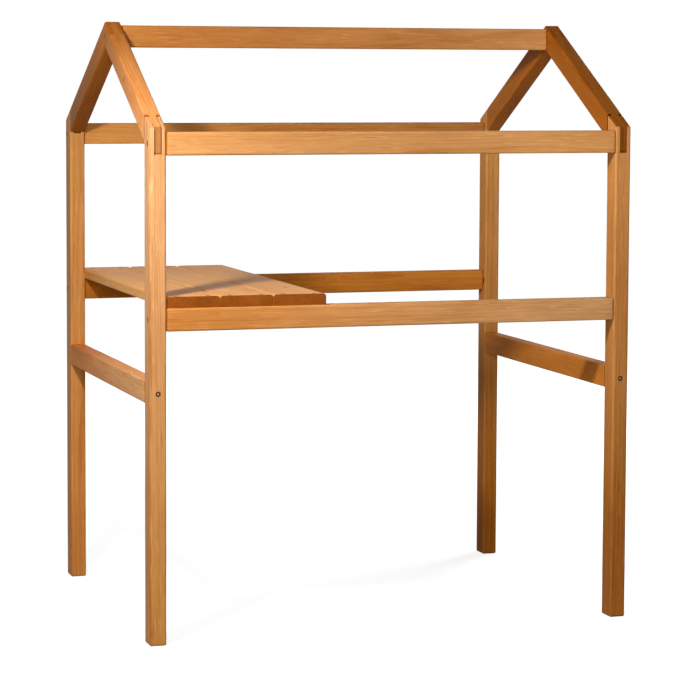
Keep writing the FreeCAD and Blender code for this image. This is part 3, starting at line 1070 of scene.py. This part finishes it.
@dataclass
class Posts:
    """Four posts, cut to the pitch at their tops and slotted for the rafters' tongues."""

    side_grain: bpy.types.Material
    end_grain: dict[Gable, bpy.types.Material]
    tones: dict[tuple[Side, Gable], Tone]
    corner_round: float = 0.005
    slot_gap: float = 0.0011
    top_spare: float = 0.01
    seed: int = 11
    sizes: FrameSizes = SIZES

    def build(self) -> None:
        """Build the four posts."""
        for number, (side, gable) in enumerate((side, gable) for side in Side for gable in Gable):
            node = f"post_{side.name.lower()}_{gable.name.lower()}"
            self._post(node, side, gable, self.seed + number)

    def _post(self, node: str, side: Side, gable: Gable, seed: int) -> None:
        """One post.

        Args:
            node: node that it stands for.
            side: its eaves.
            gable: its end of the ridge.
            seed: start of its random numbers.
        """
        sizes = self.sizes
        middle_x = gable.value * (sizes.half_length - sizes.thick / 2)
        middle_y = side.value * (sizes.half_depth - sizes.wide / 2)
        stick = Stick(
            name=f"{node}_timber", start=Vector((middle_x, middle_y, 0.0)), axis=Z_AXIS, wide=Y_AXIS,
            length=sizes.roof(sizes.wide) + self.top_spare, section=sizes.section, radii=sizes.roundings,
            stain=self.tones[side, gable], ease_last=False, seed=seed,
        )
        stick.cutters = [self._roof_cut(side, middle_x, 0.0, sizes.thick), self._slot(side, middle_x),
                         self._corner(side, middle_x)]
        rising = Vector((0.0, -side.value * math.cos(sizes.pitch), math.sin(sizes.pitch)))
        facing = Vector((0.0, side.value * math.sin(sizes.pitch), math.cos(sizes.pitch)))
        for across in Gable:
            # The slot's side walls get painted shade, for the shadow inside the slot
            wall = middle_x + across.value * (sizes.tongue / 2 + self.slot_gap)
            stick.joints.append((Vector((wall, 0.0, 0.0)), X_AXIS))
            edge_x = middle_x + across.value * sizes.thick / 2
            corner = Vector((edge_x, side.value * sizes.half_depth, sizes.eaves))
            normals = (across.value * X_AXIS, facing)
            stick.cutters.append(rounding("roof_edge", corner, rising, normals, sizes.edge_round))
        outer_x = gable.value * sizes.half_length
        rail_y = side.value * (sizes.half_depth - sizes.thick / 2)
        for height in (sizes.eave_middle, sizes.shelf_middle):
            place = Vector((outer_x, rail_y, height))
            stick.drill(FRAME_SCREW, place, -gable.value * X_AXIS, sizes.thick + THROUGH)
        place = Vector((middle_x, side.value * sizes.half_depth, sizes.cross_middle))
        stick.drill(FRAME_SCREW, place, -side.value * Y_AXIS, sizes.wide + THROUGH)
        show(stick.build([self.side_grain, self.end_grain[gable]]), node)

    def _corner(self, side: Side, middle: float) -> bpy.types.Object:
        """Helper solid outside the sanded corner where the roof cut meets the inner face.

        Args:
            side: eaves of the post.
            middle: X of the post's middle.

        Returns:
            The helper solid.
        """
        sizes = self.sizes
        half = (math.pi / 2 - sizes.pitch) / 2
        tip = Vector((sizes.wide, sizes.roof(sizes.wide)))
        inward = Vector((-math.cos(half + sizes.pitch), -math.sin(half + sizes.pitch)))
        centre = tip + inward * self.corner_round / math.sin(half)
        outside, steps = 0.003, 8
        points = [tip - inward * outside]
        turn = math.pi / 2 - half
        for step in range(steps + 1):
            angle = math.atan2(-inward.y, -inward.x) - turn + 2 * turn * step / steps
            points.append(centre + self.corner_round * Vector((math.cos(angle), math.sin(angle))))
        outline = [(side.value * (sizes.half_depth - point.x), point.y) for point in points]
        return side_prism("corner", outline, middle - MARGIN, middle + MARGIN)

    def _roof_cut(self, side: Side, middle: float, drop: float, width: float) -> bpy.types.Object:
        """Helper solid over the roof plane, or over a plane that lies a drop below it.

        Args:
            side: eaves of the roof plane.
            middle: X of the middle of the helper.
            drop: how far below the roof the cut lies.
            width: width along X.

        Returns:
            The helper solid.
        """
        sizes = self.sizes
        runs = (-MARGIN, sizes.wide + MARGIN)
        low = [(side.value * (sizes.half_depth - run), sizes.roof(run) - drop) for run in runs]
        high = [(side.value * (sizes.half_depth - run), sizes.peak + FAR) for run in reversed(runs)]
        half = width / 2 + (MARGIN if width >= sizes.thick else 0.0)
        return side_prism("roof_cut", low + high, middle - half, middle + half)

    def _slot(self, side: Side, middle: float) -> bpy.types.Object:
        """Helper solid of the slot for the rafter's tongue."""
        width = self.sizes.tongue + 2 * self.slot_gap
        return self._roof_cut(side, middle, self.sizes.plumb + self.sizes.slot_relief, width)


@dataclass
class Rafters:
    """Four rafters: those at the front are tongued at the ridge, those at the back are forked."""

    side_grain: bpy.types.Material
    end_grain: dict[tuple[ApexJoint, Gable], bpy.types.Material]
    tones: dict[tuple[Side, Gable], Tone]
    shoulder_gap: float = 0.0017
    shoulder_ease: float = 0.0007
    foot_spare: float = 0.06
    whole_spare: float = 0.15
    apex_reach: Pair = (0.13, 0.16)
    seed: int = 31
    sizes: FrameSizes = SIZES

    def build(self) -> None:
        """Build the four rafters."""
        for number, (side, gable) in enumerate((side, gable) for side in Side for gable in Gable):
            joint = ApexJoint.TONGUE if side is Side.FRONT else ApexJoint.FORK
            node = f"rafter_{side.name.lower()}_{gable.name.lower()}"
            self._rafter(node, side, gable, joint, self.seed + number)

    def _prism(self, name: str, side: Side, outline: Sequence[Pair], low: float,
               high: float) -> bpy.types.Object:
        """Helper prism whose outline is given as run and height.

        Args:
            name: object name.
            side: eaves from which the run counts.
            outline: run and height of each corner.
            low: X of one end.
            high: X of the other end.

        Returns:
            The helper solid.
        """
        points = [(side.value * (self.sizes.half_depth - run), height) for run, height in outline]
        return side_prism(name, points, low, high)

    def _rafter(self, node: str, side: Side, gable: Gable, joint: ApexJoint, seed: int) -> None:
        """One rafter.

        Args:
            node: node that it stands for.
            side: its eaves.
            gable: its end of the ridge.
            joint: its joint at the ridge.
            seed: start of its random numbers.
        """
        sizes = self.sizes
        rising = Vector((0.0, -side.value * math.cos(sizes.pitch), math.sin(sizes.pitch)))
        outward = Vector((0.0, side.value * math.sin(sizes.pitch), math.cos(sizes.pitch)))
        middle = gable.value * (sizes.half_length - sizes.thick / 2)
        corner = Vector((middle, side.value * sizes.half_depth, sizes.eaves))
        stick = Stick(
            name=f"{node}_timber", start=corner - outward * sizes.wide / 2 - rising * self.foot_spare,
            axis=rising, wide=outward, length=sizes.half_depth / math.cos(sizes.pitch) + self.whole_spare,
            section=sizes.section, radii=sizes.roundings, stain=self.tones[side, gable],
            ease_first=False, ease_last=False, seed=seed,
        )
        stick.cutters = self._foot_cuts(side, middle) + self._apex_cuts(side, middle, joint)
        shoulder = side.value * (sizes.half_depth - sizes.wide - self.shoulder_gap)
        # The shoulder faces at the post get painted shade, for the shadow in the gap
        stick.joints = [(Vector((0.0, shoulder, 0.0)), Y_AXIS)]
        outer = gable.value * sizes.half_length
        inward = -gable.value * X_AXIS
        rail_y = side.value * (sizes.half_depth - sizes.thick / 2)
        eave = Vector((outer, rail_y, sizes.eave_middle))
        ridge = Vector((outer, 0.0, sizes.ridge_middle))
        depth = sizes.thick + THROUGH
        stick.cutters.append(FRAME_SCREW.pilot_hole("eave_hole", eave, inward, depth))
        if joint is ApexJoint.FORK:
            stick.drill(FRAME_SCREW, ridge, inward, depth)
        else:
            stick.cutters.append(FRAME_SCREW.pilot_hole("ridge_hole", ridge, inward, depth))
        show(stick.build([self.side_grain, self.end_grain[joint, gable]]), node)

    def _cheeks(self, middle: float, width: float) -> list[Pair]:
        """X ranges of the two cheeks beside a tongue or slot of a width."""
        outer = self.sizes.thick / 2 + MARGIN
        return [(middle - outer, middle - width / 2), (middle + width / 2, middle + outer)]

    def _foot_cuts(self, side: Side, middle: float) -> list[bpy.types.Object]:
        """Plumb cut and shoulders at the post.

        Args:
            side: the rafter's eaves.
            middle: X of the rafter's middle.

        Returns:
            Helper solids.
        """
        sizes = self.sizes
        low, high = sizes.eaves - FAR, sizes.eaves + FAR

        def block(run: float) -> list[Pair]:
            """Everything outside a run."""
            return [(-FAR, low), (run, low), (run, high), (-FAR, high)]

        cuts = [self._prism("plumb_cut", side, block(sizes.recess), middle - MARGIN, middle + MARGIN)]
        for left, right in self._cheeks(middle, sizes.tongue):
            cuts.append(self._prism("shoulder", side, block(sizes.wide + self.shoulder_gap), left, right))
        for gable in Gable:
            shoulder = sizes.half_depth - sizes.wide - self.shoulder_gap
            corner = Vector((middle + gable.value * sizes.thick / 2, side.value * shoulder, sizes.eaves))
            normals = (gable.value * X_AXIS, side.value * Y_AXIS)
            cuts.append(rounding("shoulder_ease", corner, Z_AXIS, normals, self.shoulder_ease))
        return cuts

    def _apex_cuts(self, side: Side, middle: float, joint: ApexJoint) -> list[bpy.types.Object]:
        """End cut in the other roof plane, and the tongue or the fork under it.

        Args:
            side: the rafter's eaves.
            middle: X of the rafter's middle.
            joint: the rafter's joint at the ridge.

        Returns:
            Helper solids.
        """
        sizes = self.sizes
        runs = (sizes.half_depth - self.apex_reach[0], sizes.half_depth + self.apex_reach[1])

        def above(drop: float) -> list[Pair]:
            """Everything over the other roof plane, or a plane that lies a drop below it."""
            low = [(run, sizes.peak - drop - (run - sizes.half_depth) * sizes.slope) for run in runs]
            return low + [(run, sizes.peak + FAR) for run in reversed(runs)]

        cuts = [self._prism("end_cut", side, above(0.0), middle - MARGIN, middle + MARGIN)]
        if joint is ApexJoint.FORK:
            half = sizes.tongue / 2 + sizes.clearance
            cuts.append(self._prism("fork", side, above(sizes.plumb), middle - half, middle + half))
            falling = Vector((0.0, -side.value * math.cos(sizes.pitch), -math.sin(sizes.pitch)))
            facing = Vector((0.0, -side.value * math.sin(sizes.pitch), math.cos(sizes.pitch)))
            for gable in Gable:
                corner = Vector((middle + gable.value * sizes.thick / 2, 0.0, sizes.peak))
                normals = (gable.value * X_AXIS, facing)
                cuts.append(rounding("fork_edge", corner, falling, normals, sizes.edge_round))
        else:
            for left, right in self._cheeks(middle, sizes.tongue):
                cuts.append(self._prism("apex_shoulder", side, above(sizes.plumb), left, right))
        return cuts


@dataclass
class Rails:
    """Rails of the frame: the ridge beam, the eave rails, the shelf rails and the low cross rails."""

    finishes: Sequence[bpy.types.Material]
    tones: dict[str, Tone]
    ridge_seed: int = 51
    eave_seed: int = 52
    shelf_seed: int = 54
    cross_seed: int = 86
    sizes: FrameSizes = SIZES

    def build(self) -> None:
        """Build every rail."""
        sizes = self.sizes
        self._long_rail("ridge_beam", 0.0, sizes.ridge_middle, self.ridge_seed)
        for number, side in enumerate(Side):
            rail_y = side.value * (sizes.half_depth - sizes.thick / 2)
            eave, shelf = f"eave_rail_{side.name.lower()}", f"shelf_rail_{side.name.lower()}"
            self._long_rail(eave, rail_y, sizes.eave_middle, self.eave_seed + number)
            self._long_rail(shelf, rail_y, sizes.shelf_middle, self.shelf_seed + number, drilled=True)
        for number, gable in enumerate(Gable):
            self._cross_rail(f"cross_rail_{gable.name.lower()}", gable, self.cross_seed + number)

    def _long_rail(self, node: str, rail_y: float, height: float, seed: int, drilled: bool = False) -> None:
        """Rail along the frame, between two posts or two gables.

        Args:
            node: node that it stands for.
            rail_y: Y of its middle.
            height: Z of its middle.
            seed: start of its random numbers.
            drilled: whether the boards are screwed to it.
        """
        sizes = self.sizes
        length = sizes.length - 2 * sizes.thick
        stick = Stick(
            name=f"{node}_timber", start=Vector((-length / 2, rail_y, height)), axis=X_AXIS, wide=Z_AXIS,
            length=length, section=sizes.section, radii=sizes.roundings, stain=self.tones[node], seed=seed,
        )
        depth = FRAME_SCREW.sink + FRAME_SCREW.length - sizes.thick + FRAME_SCREW.clearance
        for gable in Gable:
            place = Vector((gable.value * length / 2, rail_y, height))
            stick.cutters.append(FRAME_SCREW.pilot_hole("pilot", place, -gable.value * X_AXIS, depth))
        if drilled:
            depth = BOARD_SCREW.sink + BOARD_SCREW.length - sizes.board_thick + BOARD_SCREW.clearance
            for number in range(sizes.board_count):
                for across in sizes.board_screw_lines(number):
                    place = Vector((across, rail_y, sizes.shelf))
                    stick.cutters.append(BOARD_SCREW.pilot_hole("board_pilot", place, -Z_AXIS, depth))
        show(stick.build(self.finishes), node)

    def _cross_rail(self, node: str, gable: Gable, seed: int) -> None:
        """Low rail in a gable, between the front and the back post.

        Args:
            node: node that it stands for.
            gable: its end of the ridge.
            seed: start of its random numbers.
        """
        sizes = self.sizes
        length = sizes.depth - 2 * sizes.wide
        middle = gable.value * (sizes.half_length - sizes.thick / 2)
        stick = Stick(
            name=f"{node}_timber", start=Vector((middle, length / 2, sizes.cross_middle)), axis=-Y_AXIS,
            wide=Z_AXIS, length=length, section=sizes.section, radii=sizes.roundings, stain=self.tones[node],
            seed=seed,
        )
        depth = FRAME_SCREW.sink + FRAME_SCREW.length - sizes.wide + FRAME_SCREW.clearance
        for side in Side:
            place = Vector((middle, side.value * length / 2, sizes.cross_middle))
            stick.cutters.append(FRAME_SCREW.pilot_hole("pilot", place, -side.value * Y_AXIS, depth))
        show(stick.build(self.finishes), node)


@dataclass
class ShelfBoards:
    """Boards across the shelf rails, with well rounded upper edges, screwed down at both ends."""

    finishes: Sequence[bpy.types.Material]
    tone: Tone
    top_round: float = 0.006
    bottom_round: float = 0.003
    end_ease: float = 0.0008
    seed: int = 71
    sizes: FrameSizes = SIZES

    def build(self) -> None:
        """Build the boards from the left posts inwards."""
        sizes = self.sizes
        length = sizes.depth - 2 * sizes.board_setback
        rail_y = sizes.half_depth - sizes.thick / 2
        for number in range(sizes.board_count):
            node = f"shelf_board_{number + 1}"
            middle = sizes.board_left(number) + sizes.board_width / 2
            height = sizes.shelf + sizes.board_thick / 2
            stick = Stick(
                name=f"{node}_timber", start=Vector((middle, length / 2, height)),
                axis=-Y_AXIS, wide=Z_AXIS, length=length, section=(sizes.board_width, sizes.board_thick),
                radii=(self.top_round, self.top_round, self.bottom_round, self.bottom_round),
                stain=self.tone, ease=self.end_ease, seed=self.seed + number,
            )
            for across in sizes.board_screw_lines(number):
                for side in Side:
                    place = Vector((across, side.value * rail_y, sizes.shelf + sizes.board_thick))
                    stick.drill(BOARD_SCREW, place, -Z_AXIS, sizes.board_thick + THROUGH)
            show(stick.build(self.finishes), node)


@dataclass
class ScrewSets:
    """Screws of the frame and of the boards, set on points by one node tree."""

    steel: bpy.types.Material
    sizes: FrameSizes = SIZES

    def build(self) -> None:
        """Build the five sets."""
        sizes = self.sizes
        rail_y = sizes.half_depth - sizes.thick / 2
        left = sizes.half_length - FRAME_SCREW.sink
        front = sizes.half_depth - FRAME_SCREW.sink
        gable_x = sizes.half_length - sizes.thick / 2
        corners = [(gable.value, side.value) for gable in Gable for side in Side]
        tree = self._tree()
        heights = {"eave_rail_screws": sizes.eave_middle, "shelf_rail_screws": sizes.shelf_middle}
        for node, height in heights.items():
            spots = [(Vector((x * left, y * rail_y, height)), x * X_AXIS) for x, y in corners]
            self._set(node, FRAME_SCREW, spots, tree, seed=3)
        ends = [gable.value for gable in Gable]
        spots = [(Vector((x * left, 0.0, sizes.ridge_middle)), x * X_AXIS) for x in ends]
        self._set("ridge_screws", FRAME_SCREW, spots, tree, seed=5)
        spots = [(Vector((x * gable_x, y * front, sizes.cross_middle)), y * Y_AXIS) for x, y in corners]
        self._set("cross_rail_screws", FRAME_SCREW, spots, tree, seed=7)
        top = sizes.shelf + sizes.board_thick - BOARD_SCREW.sink
        spots = []
        for number in range(sizes.board_count):
            for across in sizes.board_screw_lines(number):
                spots += [(Vector((across, side.value * rail_y, top)), Z_AXIS) for side in Side]
        self._set("shelf_board_screws", BOARD_SCREW, spots, tree, seed=9)

    def _tree(self) -> bpy.types.NodeTree:
        """Tree that sets a screw on every point, turned to the point's aim and spun at random.

        Returns:
            The node tree.
        """
        tree = bpy.data.node_groups.new("screw_set", "GeometryNodeTree")
        face = tree.interface
        face.new_socket(name="Points", in_out="INPUT", socket_type="NodeSocketGeometry")
        face.new_socket(name="Screw", in_out="INPUT", socket_type="NodeSocketObject")
        face.new_socket(name="Seed", in_out="INPUT", socket_type="NodeSocketInt")
        face.new_socket(name="Steel", in_out="INPUT", socket_type="NodeSocketMaterial")
        face.new_socket(name="Screws", in_out="OUTPUT", socket_type="NodeSocketGeometry")
        sheet = NodeSheet(tree)
        given = sheet.add("NodeGroupInput")
        screw = sheet.add("GeometryNodeObjectInfo")
        sheet.put(given.outputs["Screw"], screw.inputs["Object"])
        aim = sheet.add("GeometryNodeInputNamedAttribute", data_type="FLOAT_VECTOR")
        aim.inputs["Name"].default_value = "aim"
        align = sheet.add("FunctionNodeAlignRotationToVector", axis="Z")
        sheet.put(aim.outputs["Attribute"], align.inputs["Vector"])
        spin = sheet.add("FunctionNodeRandomValue", data_type="FLOAT")
        spin.inputs[3].default_value = 2.0 * math.pi
        sheet.put(given.outputs["Seed"], spin.inputs["Seed"])
        about = sheet.add("FunctionNodeAxisAngleToRotation")
        about.inputs["Axis"].default_value = (0.0, 0.0, 1.0)
        sheet.put(spin.outputs[1], about.inputs["Angle"])
        turn = sheet.add("FunctionNodeRotateRotation", rotation_space="LOCAL")
        sheet.put(align.outputs["Rotation"], turn.inputs["Rotation"])
        sheet.put(about.outputs["Rotation"], turn.inputs["Rotate By"])
        copies = sheet.add("GeometryNodeInstanceOnPoints")
        sheet.put(given.outputs["Points"], copies.inputs["Points"])
        sheet.put(screw.outputs["Geometry"], copies.inputs["Instance"])
        sheet.put(turn.outputs["Rotation"], copies.inputs["Rotation"])
        real = sheet.add("GeometryNodeRealizeInstances")
        sheet.put(copies.outputs["Instances"], real.inputs["Geometry"])
        dressed = sheet.add("GeometryNodeSetMaterial")
        sheet.put(real.outputs["Geometry"], dressed.inputs["Geometry"])
        sheet.put(given.outputs["Steel"], dressed.inputs["Material"])
        result = sheet.add("NodeGroupOutput")
        sheet.put(dressed.outputs["Geometry"], result.inputs["Screws"])
        return tree

    def _set(self, node: str, kind: ScrewSizes, spots: Sequence[tuple[Vector, Vector]],
             tree: bpy.types.NodeTree, seed: int) -> None:
        """One set of screws.

        Args:
            node: node that it stands for.
            kind: the screw.
            spots: middle of each head, and the way that the head looks.
            tree: the node tree.
            seed: start of the random spin.
        """
        template = kind.template(f"{node}_one", self.steel)
        mesh = bpy.data.meshes.new(f"{node}_points")
        mesh.from_pydata([spot for spot, _ in spots], [], [])
        aims = [value for _, aim in spots for value in aim]
        mesh.attributes.new("aim", "FLOAT_VECTOR", "POINT").data.foreach_set("vector", aims)
        holder = new_object(f"{node}_points", mesh)
        setter = holder.modifiers.new("screws", "NODES")
        setter.node_group = tree
        names = {item.name: item.identifier for item in tree.interface.items_tree if item.in_out == "INPUT"}
        setter[names["Screw"]] = template
        setter[names["Seed"]] = seed
        setter[names["Steel"]] = self.steel
        bpy.context.view_layer.update()
        graph = bpy.context.evaluated_depsgraph_get()
        made = bpy.data.meshes.new_from_object(holder.evaluated_get(graph))
        holder.modifiers.clear()
        bpy.data.objects.remove(holder)
        bpy.data.objects.remove(template)
        show(new_object(f"{node}_steel", made), node)


@dataclass(frozen=True)
class StudioCamera:
    """Camera of the photograph: place in metres, turns in radians, focal length and middle in pixels."""

    place: tuple[float, float, float] = (-1.693813, -5.337456, 1.128522)
    yaw: float = 0.311562
    pitch: float = 0.082647
    roll: float = 0.004699
    focal: float = 2655.383
    middle: Pair = (348.0, 284.0)
    picture: float = 696.0
    sensor: float = 36.0

    def build(self) -> None:
        """Make the camera and give it to the scene."""
        level = Matrix(((1.0, 0.0, 0.0), (0.0, 0.0, -1.0), (0.0, 1.0, 0.0)))
        turn = Matrix.Rotation(self.roll, 3, "Z") @ Matrix.Rotation(self.pitch, 3, "X") @ level
        rows = turn @ Matrix.Rotation(self.yaw, 3, "Z")
        data = bpy.data.cameras.new("studio_camera")
        data.sensor_width = self.sensor
        data.lens = self.focal / self.picture * self.sensor
        data.shift_x = (self.picture / 2 - self.middle[0]) / self.picture
        data.shift_y = (self.middle[1] - self.picture / 2) / self.picture
        data.clip_end = 200.0
        camera = bpy.data.objects.new("studio_camera", data)
        bpy.context.scene.collection.objects.link(camera)
        axes = Matrix((rows[0], -rows[1], -rows[2])).transposed().to_4x4()
        camera.matrix_world = Matrix.Translation(Vector(self.place)) @ axes
        bpy.context.scene.camera = camera


@dataclass(frozen=True)
class Softbox:
    """Square studio lamp that looks at a point."""

    name: str
    place: tuple[float, float, float]
    target: tuple[float, float, float]
    size: float
    power: float
    colour: Colour = (1.0, 1.0, 1.0)

    def build(self) -> None:
        """Make the lamp."""
        data = bpy.data.lights.new(self.name, "AREA")
        data.shape = "SQUARE"
        data.size = self.size
        data.energy = self.power
        data.color = self.colour
        lamp = bpy.data.objects.new(self.name, data)
        lamp.location = self.place
        lamp.rotation_euler = (Vector(self.target) - Vector(self.place)).to_track_quat("-Z", "Y").to_euler()
        bpy.context.scene.collection.objects.link(lamp)


KEY_LAMP = Softbox("key_lamp", place=(-0.99, -0.975, 1.447), target=(0.1, 0.0, 0.7), size=0.10, power=18.5,
                   colour=(1.0, 0.985, 0.96))
FRONT_LAMP = Softbox("front_lamp", place=(-1.3, -4.6, 1.2), target=(0.0, 0.0, 0.8), size=1.8, power=100.0)
SIDE_LAMP = Softbox("side_lamp", place=(-4.2, -1.6, 1.78), target=(0.0, 0.0, 0.85), size=0.6, power=16.0)
BACK_LAMP = Softbox("back_lamp", place=(3.3, 2.6, 1.6), target=(0.0, 0.0, 0.6), size=1.3, power=95.0)


@dataclass(frozen=True)
class Studio:
    """White studio: a pale floor that keeps the shadow, an even surround and soft lamps.

    The floor's glow grows from the near to the far value between the near and the far distance.
    """

    lamps: tuple[Softbox, ...] = (KEY_LAMP, FRONT_LAMP, SIDE_LAMP, BACK_LAMP)
    surround: float = 0.045
    near: float = 0.8
    far: float = 3.0
    near_glow: float = 0.83
    far_glow: float = 1.0
    bounce_colour: Colour = (0.28, 0.28, 0.28)
    seen_colour: Colour = (0.50, 0.50, 0.50)
    floor_half: float = 60.0

    def build(self) -> None:
        """Make the floor, the surround and the lamps."""
        self._floor()
        self._surround()
        for lamp in self.lamps:
            lamp.build()

    def _seen(self, sheet: NodeSheet) -> bpy.types.NodeSocket:
        """Share of the white look.

        Args:
            sheet: the tree to write in.

        Returns:
            1 for what the camera sees straight or in gloss and glass, 0 for light on the object.
        """
        path = sheet.add("ShaderNodeLightPath")
        gloss = sheet.math("MAXIMUM", path.outputs["Is Glossy Ray"], path.outputs["Is Transmission Ray"])
        return sheet.math("MAXIMUM", path.outputs["Is Camera Ray"], gloss)

    def _floor(self) -> None:
        """Pale floor."""
        half = self.floor_half
        corners = [(-half, -half, 0.0), (half, -half, 0.0), (half, half, 0.0), (-half, half, 0.0)]
        mesh = bpy.data.meshes.new("studio_floor")
        mesh.from_pydata(corners, [], [(0, 1, 2, 3)])
        made = bpy.data.materials.new("studio_floor")
        made.use_nodes = True
        sheet = NodeSheet(made.node_tree)
        matt = sheet.add("ShaderNodeBsdfDiffuse")
        matt.inputs["Color"].default_value = (*self.bounce_colour, 1.0)
        thin = sheet.add("ShaderNodeBsdfDiffuse")
        thin.inputs["Color"].default_value = (*self.seen_colour, 1.0)
        glow = sheet.add("ShaderNodeEmission")
        away = sheet.add("ShaderNodeVectorMath", operation="LENGTH")
        sheet.put(sheet.add("ShaderNodeTexCoord").outputs["Object"], away.inputs[0])
        strength = sheet.ramp(away.outputs["Value"], self.near, self.far, self.near_glow, self.far_glow)
        sheet.put(strength, glow.inputs["Strength"])
        white = sheet.add("ShaderNodeAddShader")
        sheet.put(thin.outputs[0], white.inputs[0])
        sheet.put(glow.outputs[0], white.inputs[1])
        choice = sheet.add("ShaderNodeMixShader")
        sheet.put(self._seen(sheet), choice.inputs[0])
        sheet.put(matt.outputs[0], choice.inputs[1])
        sheet.put(white.outputs[0], choice.inputs[2])
        output = sheet.add("ShaderNodeOutputMaterial")
        sheet.put(choice.outputs[0], output.inputs["Surface"])
        mesh.materials.append(made)
        new_object("studio_floor", mesh)

    def _surround(self) -> None:
        """Even surround, white where it is seen."""
        world = bpy.data.worlds.new("studio_surround")
        world.use_nodes = True
        sheet = NodeSheet(world.node_tree)
        light = sheet.add("ShaderNodeBackground")
        light.inputs["Strength"].default_value = self.surround
        white = sheet.add("ShaderNodeBackground")
        for item in (light, white):
            item.inputs["Color"].default_value = (1.0, 1.0, 1.0, 1.0)
        choice = sheet.add("ShaderNodeMixShader")
        sheet.put(self._seen(sheet), choice.inputs[0])
        sheet.put(light.outputs[0], choice.inputs[1])
        sheet.put(white.outputs[0], choice.inputs[2])
        output = sheet.add("ShaderNodeOutputWorld")
        sheet.put(choice.outputs[0], output.inputs["Surface"])
        bpy.context.scene.world = world


# Tones of the posts, from the foot up; the darker, redder feet of the right posts are painted shade, and the
# pale, bluish top of the front left post is a painted highlight and sheen
POST_TONES: dict[tuple[Side, Gable], Tone] = {
    (Side.FRONT, Gable.LEFT): Tone((0.95, 0.94, 0.83), (0.95, 1.10, 1.66), edge_wear_and_light=-2.4),
    (Side.FRONT, Gable.RIGHT): Tone((0.62, 0.47, 0.23), (1.07, 1.06, 1.04)),
    (Side.BACK, Gable.LEFT): Tone((0.92, 0.78, 0.58), (0.84, 0.90, 0.90)),
    (Side.BACK, Gable.RIGHT): Tone((0.55, 0.39, 0.14), (1.03, 1.03, 0.98)),
}

# Tones of the rafters, from the eaves up
RAFTER_TONES: dict[tuple[Side, Gable], Tone] = {
    (Side.FRONT, Gable.LEFT): Tone((1.01, 0.94, 1.03), (0.54, 0.40, 0.18), edge_wear_and_light=-2.2, joint_shade=0.72),
    (Side.FRONT, Gable.RIGHT): Tone((0.62, 0.42, 0.11), edge_wear_and_light=-1.8),
    (Side.BACK, Gable.LEFT): Tone((0.47, 0.37, 0.17), (0.58, 0.43, 0.18), edge_wear_and_light=-1.8),
    (Side.BACK, Gable.RIGHT): Tone((0.81, 0.65, 0.32), (0.62, 0.40, 0.09), edge_wear_and_light=-1.2),
}

# Tones of the rails, from the left to the right or from the back to the front; the ridge and the front rails
# go from darker at the left to paler at the right as painted shade and light against the fall-off of the key
# lamp, the darker left end of the back shelf rail is a painted shadow, and the pale, bluish front end of the
# left cross rail is a painted sheen
RAIL_TONES: dict[str, Tone] = {
    "ridge_beam": Tone((0.57, 0.49, 0.39), (0.93, 0.95, 1.03), bend=1.5),
    "eave_rail_front": Tone((0.80, 0.85, 0.98), (1.19, 1.25, 1.34), bend=2.2),
    "eave_rail_back": Tone((0.79, 0.74, 0.61)),
    "shelf_rail_front": Tone((0.89, 0.80, 0.66), (1.08, 1.26, 1.73)),
    "shelf_rail_back": Tone((0.62, 0.44, 0.14), (0.89, 0.70, 0.34)),
    "cross_rail_left": Tone((1.07, 0.78, 0.45), (1.25, 1.41, 1.96), edge_wear_and_light=-1.0),
    "cross_rail_right": Tone((0.95, 0.73, 0.31)),
}

BOARD_TONE = Tone((0.90, 0.74, 0.50))

SIDE_GRAIN = StainedTimber("side_grain", pale=(0.76, 0.36, 0.115), deep=(0.40, 0.125, 0.018))
END_GRAIN = StainedTimber("end_grain", pale=(0.44, 0.145, 0.016), deep=(0.23, 0.060, 0.005),
                          roughness=0.6, gloss=0.01)
CUT_GRAIN = StainedTimber("cut_grain", pale=(0.66, 0.30, 0.09), deep=(0.36, 0.115, 0.018),
                          roughness=0.56, gloss=0.01)
FORK_GRAIN = StainedTimber("fork_grain", pale=(0.68, 0.25, 0.05), deep=(0.40, 0.115, 0.014),
                           roughness=0.56, gloss=0.01)
# End grain of the front left rafter: the end grain's own colour, darkened further as painted shade for its
# tongue end, which sits back in the slot
TONGUE_GRAIN_PAINTED_SHADE = StainedTimber("tongue_grain", pale=(0.42, 0.185, 0.055), deep=(0.22, 0.07, 0.012),
                             roughness=0.6, gloss=0.01)
BOARD_GRAIN = StainedTimber("board_grain", pale=(0.92, 0.55, 0.25), deep=(0.66, 0.29, 0.085), gloss=0.025)
BOARD_END = StainedTimber("board_end", pale=(0.34, 0.115, 0.022), deep=(0.16, 0.042, 0.005),
                          roughness=0.62, gloss=0.01)
STEEL = PlatedSteel("screw_steel", colour=(0.62, 0.56, 0.46), tarnish=(0.40, 0.32, 0.22),
                    rim_shade=(0.06, 0.028, 0.012))


def main() -> None:
    """Build the plant shelf, the camera and the studio."""
    logging.basicConfig(level=logging.INFO, format="%(name)s: %(message)s")
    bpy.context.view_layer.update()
    bpy.context.scene.view_settings.view_transform = "Standard"
    StudioCamera().build()
    Studio().build()
    side_grain = SIDE_GRAIN.material()
    end_grain = END_GRAIN.material()
    board_wood = [BOARD_GRAIN.material(), BOARD_END.material()]
    cut_grain = CUT_GRAIN.material()
    Posts(side_grain, {Gable.LEFT: cut_grain, Gable.RIGHT: end_grain}, POST_TONES).build()
    fork_grain = FORK_GRAIN.material()
    rafter_ends = {(ApexJoint.FORK, gable): fork_grain for gable in Gable}
    rafter_ends[ApexJoint.TONGUE, Gable.LEFT] = TONGUE_GRAIN_PAINTED_SHADE.material()
    rafter_ends[ApexJoint.TONGUE, Gable.RIGHT] = cut_grain
    Rafters(side_grain, rafter_ends, RAFTER_TONES).build()
    Rails([side_grain, end_grain], RAIL_TONES).build()
    ShelfBoards(board_wood, BOARD_TONE).build()
    ScrewSets(STEEL.material()).build()


if __name__ == "__main__":
    main()
